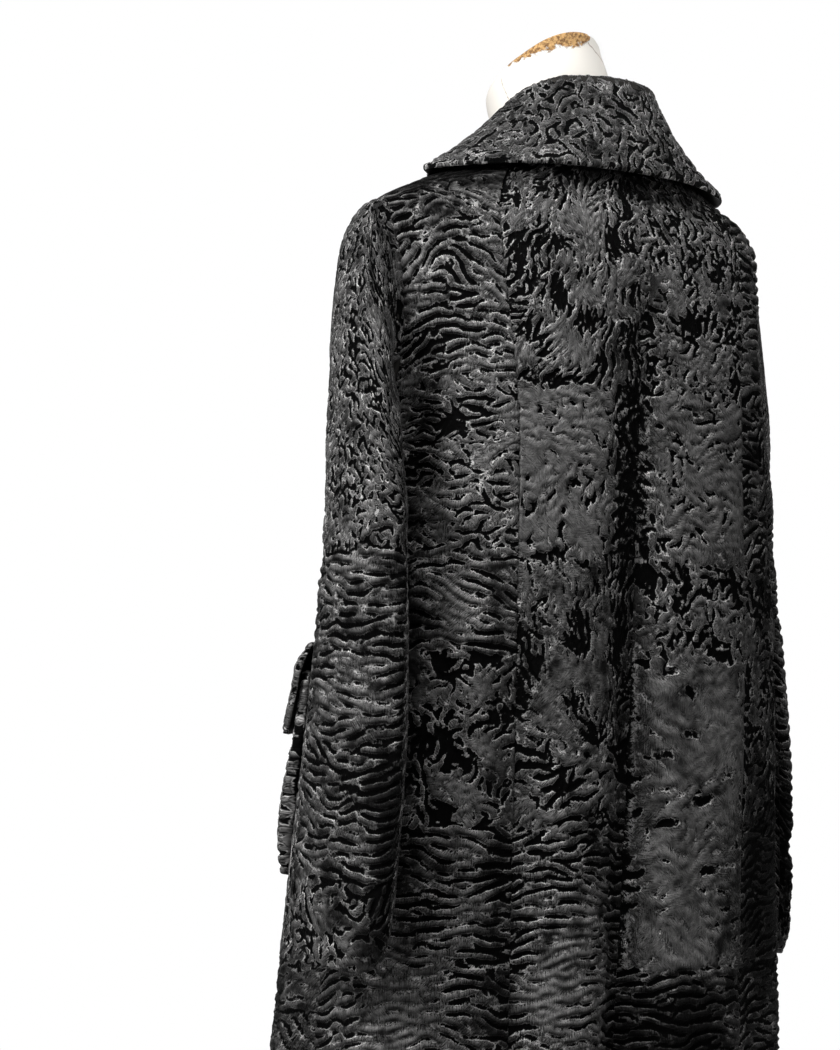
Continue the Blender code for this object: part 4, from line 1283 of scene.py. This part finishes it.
def patchPiece(name, side, angles, heights, cornerRows, innerLift, outerLift, pelts, seed):
    spacing = pockets["spacing"] * coarser
    low, high = heights
    v = (places(low, high, spacing, True, True) - low) / (high - low)
    lowShare = np.clip(v / cornerRows, 0, 1)
    narrowing = pockets["corner"] / 2 * (1 - np.sqrt(1 - (1 - lowShare) ** 2))
    width = math.radians(angles[1] - angles[0]) * pockets["bodyRadius"]
    u = places(0.0, width, spacing, True, True)[None, :] / width
    squeezed = narrowing[:, None] + u * (1 - 2 * narrowing[:, None])
    angle = np.radians(angles[0] + (angles[1] - angles[0]) * squeezed)
    height = np.repeat((low + (high - low) * v)[:, None], angle.shape[1], 1)
    across = np.nan_to_num(np.sin(math.pi * np.repeat(u, len(v), 0)) ** 0.5)
    if side == "right":
        angle = 2 * math.pi - angle
    outer = coatPoint(angle, height, outerLift(height, across))
    inner = coatPoint(angle, height, innerLift(height, across))
    thick = np.linalg.norm(outer - inner, axis=-1)
    peltPiece(name, (name,), outer, coatOutward(angle, height), thick, pelts, seed,
              ("left", "right", "bottom", "top"))


for sideNumber, side in enumerate(("left", "right")):
    patchPiece(f"pocket_{side}", side, pockets["angles"], pockets["heights"], pockets["cornerRows"],
               pocketInner, pocketOuter, pockets["pelts"], 41 + sideNumber)
    patchPiece(f"pocket_flap_{side}", side, pockets["flapAngles"], pockets["flapHeights"],
               pockets["flapCornerRows"], flapInner, flapOuter, pockets["flapPelts"], 43 + sideNumber)
print("pockets: made")

# Dress form
form = {
    # height, half width, back, front, squareness
    "sections": (
        (0.740, 0.150, 0.085, 0.105, 2.3),
        (0.760, 0.160, 0.095, 0.115, 2.3),
        (0.860, 0.168, 0.100, 0.118, 2.3),
        (0.960, 0.142, 0.088, 0.104, 2.2),
        (1.030, 0.122, 0.080, 0.096, 2.2),
        (1.120, 0.142, 0.090, 0.125, 2.2),
        (1.180, 0.160, 0.094, 0.126, 2.3),
        (1.250, 0.176, 0.096, 0.106, 2.3),
    ),
    "torsoTop": 1.225,
    "shoulderFrom": 1.300,
    "shoulderTop": 1.345,
    "shoulderStep": 0.003,
    "clearance": 0.0009,
    "lapRelief": 0.0068,
    "lapReliefAngle": 38.0,
    "lapReliefFade": 14.0,
    "tipRelief": 0.002,
    "tipPower": 10,
    "footShare": 0.94,
    # height, centre y, radius x, radius y, tilt of the slanted cut
    "neck": (
        (1.388, 0.009, 0.063, 0.050, 0.00),
        (1.408, 0.000, 0.060, 0.052, 0.05),
        (1.431, -0.012, 0.0580, 0.0546, 0.18),
        (1.457, -0.0232, 0.0570, 0.0546, 0.24),
        (1.4765, -0.0268, 0.0499, 0.0477, 0.50),
        (1.4814, -0.0212, 0.0424, 0.0412, 0.70),
        (1.4870, -0.0206, 0.0357, 0.0346, 0.56),
    ),
    "steps": 144,
    "torsoRings": 44,
    "chestRings": 26,
    "slopeRings": 16,
    "neckRings": 54,
    "capRings": 6,
    "capShares": (0.9, 0.78, 0.64, 0.5, 0.36, 0.22, 0.1),
    "bottomShares": (0.2, 0.6, 0.92),
    # turn in degrees, and how far above the cut's rim the bared plaster lies and reaches
    "wearCentre": ((-20, -0.004), (0, -0.005), (30, -0.007), (50, -0.008), (70, -0.008), (88, -0.009)),
    "wearReach": ((-16, 0), (-8, 0.004), (0, 0.007), (12, 0.0085), (35, 0.0075), (50, 0.0085), (70, 0.0075),
                  (80, 0.006), (90, 0)),
    "ragged": 1.7,  # how ragged the plaster's edge is
    "crackCentre": 0.022,
    "crackDrift": 0.16,
    "crackFade": 0.001,
    # turn and height of each crack's two ends, and its width as a turn
    "cracks": ((1.31, 1.445, 1.60, 1.467, 0.008), (-0.72, 1.487, -0.16, 1.503, 0.030)),
}


def formFinish():
    finish = Finish("old_form_paint")
    spot = finish.places()
    parts = finish.node("ShaderNodeSeparateXYZ", {}, {0: spot})
    around = parts.math("ARCTAN2", parts.out("Y") + form["crackCentre"])
    height = parts.out("Z")
    wear = finish.attribute("wear")
    ragged = finish.noise(spot, 170.0, 4.0, 0.62)
    edge = wear + (ragged - 0.5) * form["ragged"]
    chip = edge.above(0.48, 0.54)
    lip = edge.near(0.46, 0.06)
    patchy = finish.noise(spot, 9.0, 2.0, 0.5)
    paint = finish.mixed(patchy, (0.74, 0.705, 0.65, 1), (0.80, 0.77, 0.72, 1))
    speckle = finish.noise(spot, 330.0, 3.0, 0.7)
    plaster = finish.mixed(speckle.above(0.38, 0.62), (0.17, 0.085, 0.032, 1), (0.56, 0.34, 0.14, 1))
    drift = (finish.noise(spot, 150.0, 2.0, 0.5) - 0.5) * form["crackDrift"]
    fade = form["crackFade"]
    crack = 0
    for lowTurn, lowHeight, highTurn, highHeight, width in form["cracks"]:
        slope = (highTurn - lowTurn) / (highHeight - lowHeight)
        line = (around - (height - lowHeight) * slope - lowTurn + drift).near(0.0, width)
        ended = 1 - height.above(highHeight - fade, highHeight + fade)
        crack = crack + line * height.above(lowHeight - fade, lowHeight + fade) * ended
    colour = finish.mixed(chip, paint, plaster)
    colour = finish.mixed(lip * 0.55, colour, (0.10, 0.055, 0.03, 1))
    colour = finish.mixed(crack * 0.75, colour, (0.22, 0.14, 0.08, 1))
    finish.set(Base_Color=colour, Roughness=0.52 + chip * 0.35, Specular_IOR_Level=0.35)
    finish.bump(patchy * 0.4 - chip * 0.9 + speckle * chip * 0.4 - crack * 0.5, 0.0008, 0.8)
    return finish.material


def makeForm():
    read = smoothTable(form["sections"])
    readNeck = smoothTable(form["neck"])
    steps = form["steps"]
    angle = np.linspace(0, 2 * math.pi, steps + 1)[:-1]

    def torso(height):
        halfWidth, back, front, square = read(height)
        radius = ringRadius(angle, halfWidth, back, front, square, square)
        return ringOf(angle, radius, radius, height)

    def shoulders(height):
        away = np.abs(np.degrees(angle) - 180)
        nearLap = 1 - smoothStep((away - form["lapReliefAngle"]) / form["lapReliefFade"])
        nearTip = np.abs(np.sin(angle)) ** form["tipPower"]
        lift = -(coat["peltThick"] + form["clearance"])
        lift = lift - form["lapRelief"] * nearLap - form["tipRelief"] * nearTip
        return coatPoint(angle, np.full(angle.shape, height), lift)

    chest = form["sections"][-1][0]
    neckFoot = form["neck"][0][0]
    heights = np.linspace(form["sections"][1][0], form["torsoTop"], form["torsoRings"])
    rings = [torso(height) for height in heights]
    blendHeight = form["shoulderFrom"] - form["torsoTop"]
    step = form["shoulderStep"]
    chestHeights = np.linspace(form["torsoTop"], form["shoulderTop"], form["chestRings"])[1:]
    slopeHeights = np.linspace(form["shoulderTop"] + step, neckFoot - step, form["slopeRings"])
    for height in np.concatenate([chestHeights, slopeHeights]):
        share = float(smoothStep((height - form["torsoTop"]) / blendHeight))
        ring = torso(min(height, chest)) * (1 - share) + shoulders(height) * share
        ring[:, 2] += (height - min(height, chest)) * (1 - share)
        rings.append(ring)
    neckRows = len(rings)
    rimHeight = form["neck"][-2][0]
    capHeight = form["neck"][-1][0]
    neckHeights = np.linspace(neckFoot, rimHeight, form["neckRings"])
    for height in np.concatenate([neckHeights, np.linspace(rimHeight, capHeight, form["capRings"])[1:]]):
        centreY, radiusX, radiusY, tilt = readNeck(height)
        y = radiusY * np.cos(angle)
        rings.append(np.stack([radiusX * np.sin(angle), centreY + y, height + tilt * y], -1))
    capRing = rings[-1]
    capCentre = capRing.mean(0)
    for share in form["capShares"]:
        rings.append(capCentre + (capRing - capCentre) * share)
    bottom = rings[0] * [form["footShare"], form["footShare"], 0] + [0, 0, form["sections"][0][0]]
    under = [bottom * [share, share, 1] for share in form["bottomShares"]] + [bottom]
    points = np.array(under + rings)
    quads, triangles = tubeFaces(len(points), steps)
    piece = meshOf("form_body", points.reshape(-1, 3), quads, triangles, len(quads), (formFinish(),))

    # wear runs along the cut's rim at the back and left, widest where it ends
    turned = np.degrees(angle)
    turned = np.where(turned > 180, turned - 360, turned)
    climbed = arcs(points, 0)
    rimRow = len(under) + neckRows + form["neckRings"]
    centre = np.interp(turned, *zip(*form["wearCentre"]))
    reach = np.interp(turned, *zip(*form["wearReach"]))
    away = (climbed - climbed[rimRow:rimRow + 1] - centre) / np.maximum(reach, 1e-5)
    wear = np.exp(-((away * 0.83) ** 2)) * (reach > 0.0005)
    addAttribute(piece, "wear", wear.ravel())
    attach(piece, "root")
    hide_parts("form_torso")
    print("form:", len(quads), "faces")


makeForm()

# Stand
stand = {
    "poleRadius": 0.0145,
    "capRadius": 0.036,
    "capThick": 0.007,
    "capTaper": 0.008,
    "baseRadius": 0.170,
    "rimThick": 0.010,
    "baseThick": 0.017,
    "hubRadius": 0.032,
    "hubTop": 0.048,
    "bevel": 0.003,
    "hubFlare": (0.002, 0.008, 0.004),  # outward at its top and at its foot, and its height
    "rimSlope": (0.006, 0.004),
    "edgeRound": 0.0012,
    "centre": 0.0004,  # radius of the innermost ring
    "steps": 128,
}


def steelFinish():
    finish = Finish("drawn_steel")
    spot = finish.places()
    stretched = finish.node("ShaderNodeMapping", {}, {"Vector": spot, "Scale": (1, 1, 0.04)})
    lines = finish.noise(stretched, 900.0, 3.0, 0.6)
    blotch = finish.noise(spot, 30.0, 3.0, 0.6)
    colour = finish.mixed(blotch, (0.42, 0.42, 0.43, 1), (0.62, 0.61, 0.60, 1))
    finish.set(Base_Color=colour, Metallic=1.0, Roughness=0.24 + lines * 0.22)
    finish.bump(lines, 0.0002, 0.4)
    return finish.material


def ironFinish():
    finish = Finish("painted_iron")
    spot = finish.places()
    cast = finish.noise(spot, 260.0, 5.0, 0.65)
    rubbed = finish.noise(spot, 38.0, 4.0, 0.6)
    colour = finish.mixed(rubbed.above(0.35, 0.75), (0.020, 0.020, 0.022, 1), (0.048, 0.046, 0.045, 1))
    finish.set(Base_Color=colour, Roughness=0.42 + cast * 0.25, Specular_IOR_Level=0.45)
    finish.bump(cast, 0.0007, 0.7)
    return finish.material


def turnedPiece(node, profile, finish):
    # the profile, given from the top down, turned about the upright axis
    angle = np.linspace(0, 2 * math.pi, stand["steps"] + 1)[:-1]
    points = np.concatenate([ringOf(angle, radius, radius, height) for radius, height in profile[::-1]])
    quads, triangles = tubeFaces(len(profile), len(angle))
    piece = meshOf(node + "_turned", points, quads, triangles, len(quads), (finish,))
    piece.data.set_sharp_from_angle(angle=math.radians(35))
    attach(piece, "root")
    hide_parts(node)


def rounded(profile, size=0.0006):
    # each corner becomes a short arc
    found = [profile[0]]
    for before, corner, after in zip(profile, profile[1:], profile[2:]):
        corner = np.array(corner, float)
        back = np.array(before, float) - corner
        on = np.array(after, float) - corner
        reach = min(size, 0.4 * np.linalg.norm(back), 0.4 * np.linalg.norm(on))
        start = corner + back / np.linalg.norm(back) * reach
        end = corner + on / np.linalg.norm(on) * reach
        for t in (0, 0.33, 0.67, 1):
            found.append(tuple((1 - t) ** 2 * start + 2 * t * (1 - t) * corner + t**2 * end))
    return found + [profile[-1]]


def makeStand():
    hub = stand["hubRadius"]
    hubTop = stand["hubTop"]
    base = stand["baseRadius"]
    thick = stand["baseThick"]
    rim = stand["rimThick"]
    bevel = stand["bevel"]
    centre = stand["centre"]
    flareTop, flareFoot, flareHeight = stand["hubFlare"]
    slopeRun, slopeDrop = stand["rimSlope"]
    plate = (
        (centre, hubTop),
        (hub - bevel, hubTop),
        (hub, hubTop - bevel),
        (hub + flareTop, thick + flareHeight),
        (hub + flareFoot, thick),
        (base - slopeRun, rim),
        (base, rim - slopeDrop),
        (base, 0),
        (centre, 0),
    )
    turnedPiece("form_base", rounded(plate, stand["edgeRound"]), ironFinish())
    top = form["sections"][0][0] - coat["seamGap"]
    low = hubTop + coat["seamGap"]
    pole = stand["poleRadius"]
    cap = stand["capRadius"]
    under = top - stand["capThick"]
    taper = under - stand["capTaper"]
    rod = ((centre, top), (cap, top), (cap, under), (pole, taper), (pole, low), (centre, low))
    turnedPiece("form_pole", rounded(rod), steelFinish())


makeStand()
print("stand: made")

# Room: a pale floor, soft light and a white surround
room = {
    "floorRadius": 2.4,
    "surround": 0.10,  # light it gives; it shows as plain white
    "lights": (
        # azimuth, height, distance, size, power, height aimed at, spread in degrees
        ("key", 97, 2.5, 2.6, 1.1, 104, 1.0, 180),
        ("fill", 190, 1.6, 2.8, 1.6, 2, 1.0, 180),
        ("top", 150, 3.2, 0.9, 1.0, 26, 1.0, 180),
        ("front", 321, 1.3, 3.0, 1.4, 42, 0.9, 180),
        ("neck", 232, 1.75, 2.2, 0.4, 0.22, 1.49, 10),
    ),
}


def makeRoom():
    bpy.ops.mesh.primitive_circle_add(vertices=96, radius=room["floorRadius"], fill_type="NGON")
    floor = bpy.context.object
    floor.name = "floor"
    floor.location.z = -0.0005
    finish = Finish("pale_floor")
    grain = finish.noise(finish.places(), 14.0, 2.0, 0.5)
    colour = finish.mixed(grain, (0.86, 0.86, 0.86, 1), (0.90, 0.90, 0.895, 1))
    finish.set(Base_Color=colour, Roughness=0.75, Specular_IOR_Level=0.2)
    floor.data.materials.append(finish.material)

    world = bpy.data.worlds.new("white_surround")
    bpy.context.scene.world = world
    surround = Finish("white_surround", world)
    white = {"Color": (1, 1, 1, 1), "Strength": 1.0}
    lighting = surround.node("ShaderNodeBackground", {}, {**white, "Strength": room["surround"]})
    showing = surround.node("ShaderNodeBackground", {}, white)
    seen = surround.node("ShaderNodeLightPath", output="Is Camera Ray")
    mix = surround.node("ShaderNodeMixShader", {}, {0: seen, 1: lighting, 2: showing})
    surround.feed(surround.tree.nodes["World Output"].inputs["Surface"], mix)

    for name, azimuth, height, distance, size, power, aimHeight, spread in room["lights"]:
        light = bpy.data.lights.new(name, "AREA")
        light.shape = "DISK"
        light.size = size
        light.energy = power
        light.spread = math.radians(spread)
        lamp = bpy.data.objects.new(name, light)
        turn = math.radians(azimuth)
        place = np.array([distance * math.sin(turn), -distance * math.cos(turn), height])
        aim = np.array([0, 0, aimHeight]) - place
        lookAlong(lamp, place, aim)
        lamp.visible_camera = False
        bpy.context.scene.collection.objects.link(lamp)


def lookAlong(thing, place, aim, roll=0.0):
    forward = unit(np.array(aim, float))
    right = unit(np.cross(forward, up))
    above = np.cross(right, forward)
    rows = np.eye(4)
    rows[:3, 0] = right * math.cos(roll) + above * math.sin(roll)
    rows[:3, 1] = above * math.cos(roll) - right * math.sin(roll)
    rows[:3, 2] = -forward
    rows[:3, 3] = place
    thing.matrix_world = Matrix(rows.tolist())


camera = {
    "azimuth": 141.0,
    "distance": 3.0,
    "height": 0.917,
    "lens": 116.02,
    "yaw": 2.217,
    "pitch": 2.883,
    "roll": 2.0,
}


def makeCamera():
    azimuth = math.radians(camera["azimuth"])
    yaw = math.radians(camera["yaw"])
    pitch = math.radians(camera["pitch"])
    away = np.array([math.sin(azimuth), -math.cos(azimuth), 0])
    forward = -away
    right = np.array([forward[1], -forward[0], 0])
    place = away * camera["distance"] + [0, 0, camera["height"]]
    level = forward * math.cos(yaw) - right * math.sin(yaw)
    aim = level * math.cos(pitch) + up * math.sin(pitch)
    data = bpy.data.cameras.new("camera")
    data.lens = camera["lens"]
    data.sensor_width = 36
    data.dof.use_dof = False
    view = bpy.data.objects.new("camera", data)
    lookAlong(view, place, aim, math.radians(camera["roll"]))
    bpy.context.scene.collection.objects.link(view)
    bpy.context.scene.camera = view


makeRoom()
makeCamera()
bpy.context.scene.view_settings.view_transform = "Standard"
print("room and camera: made")
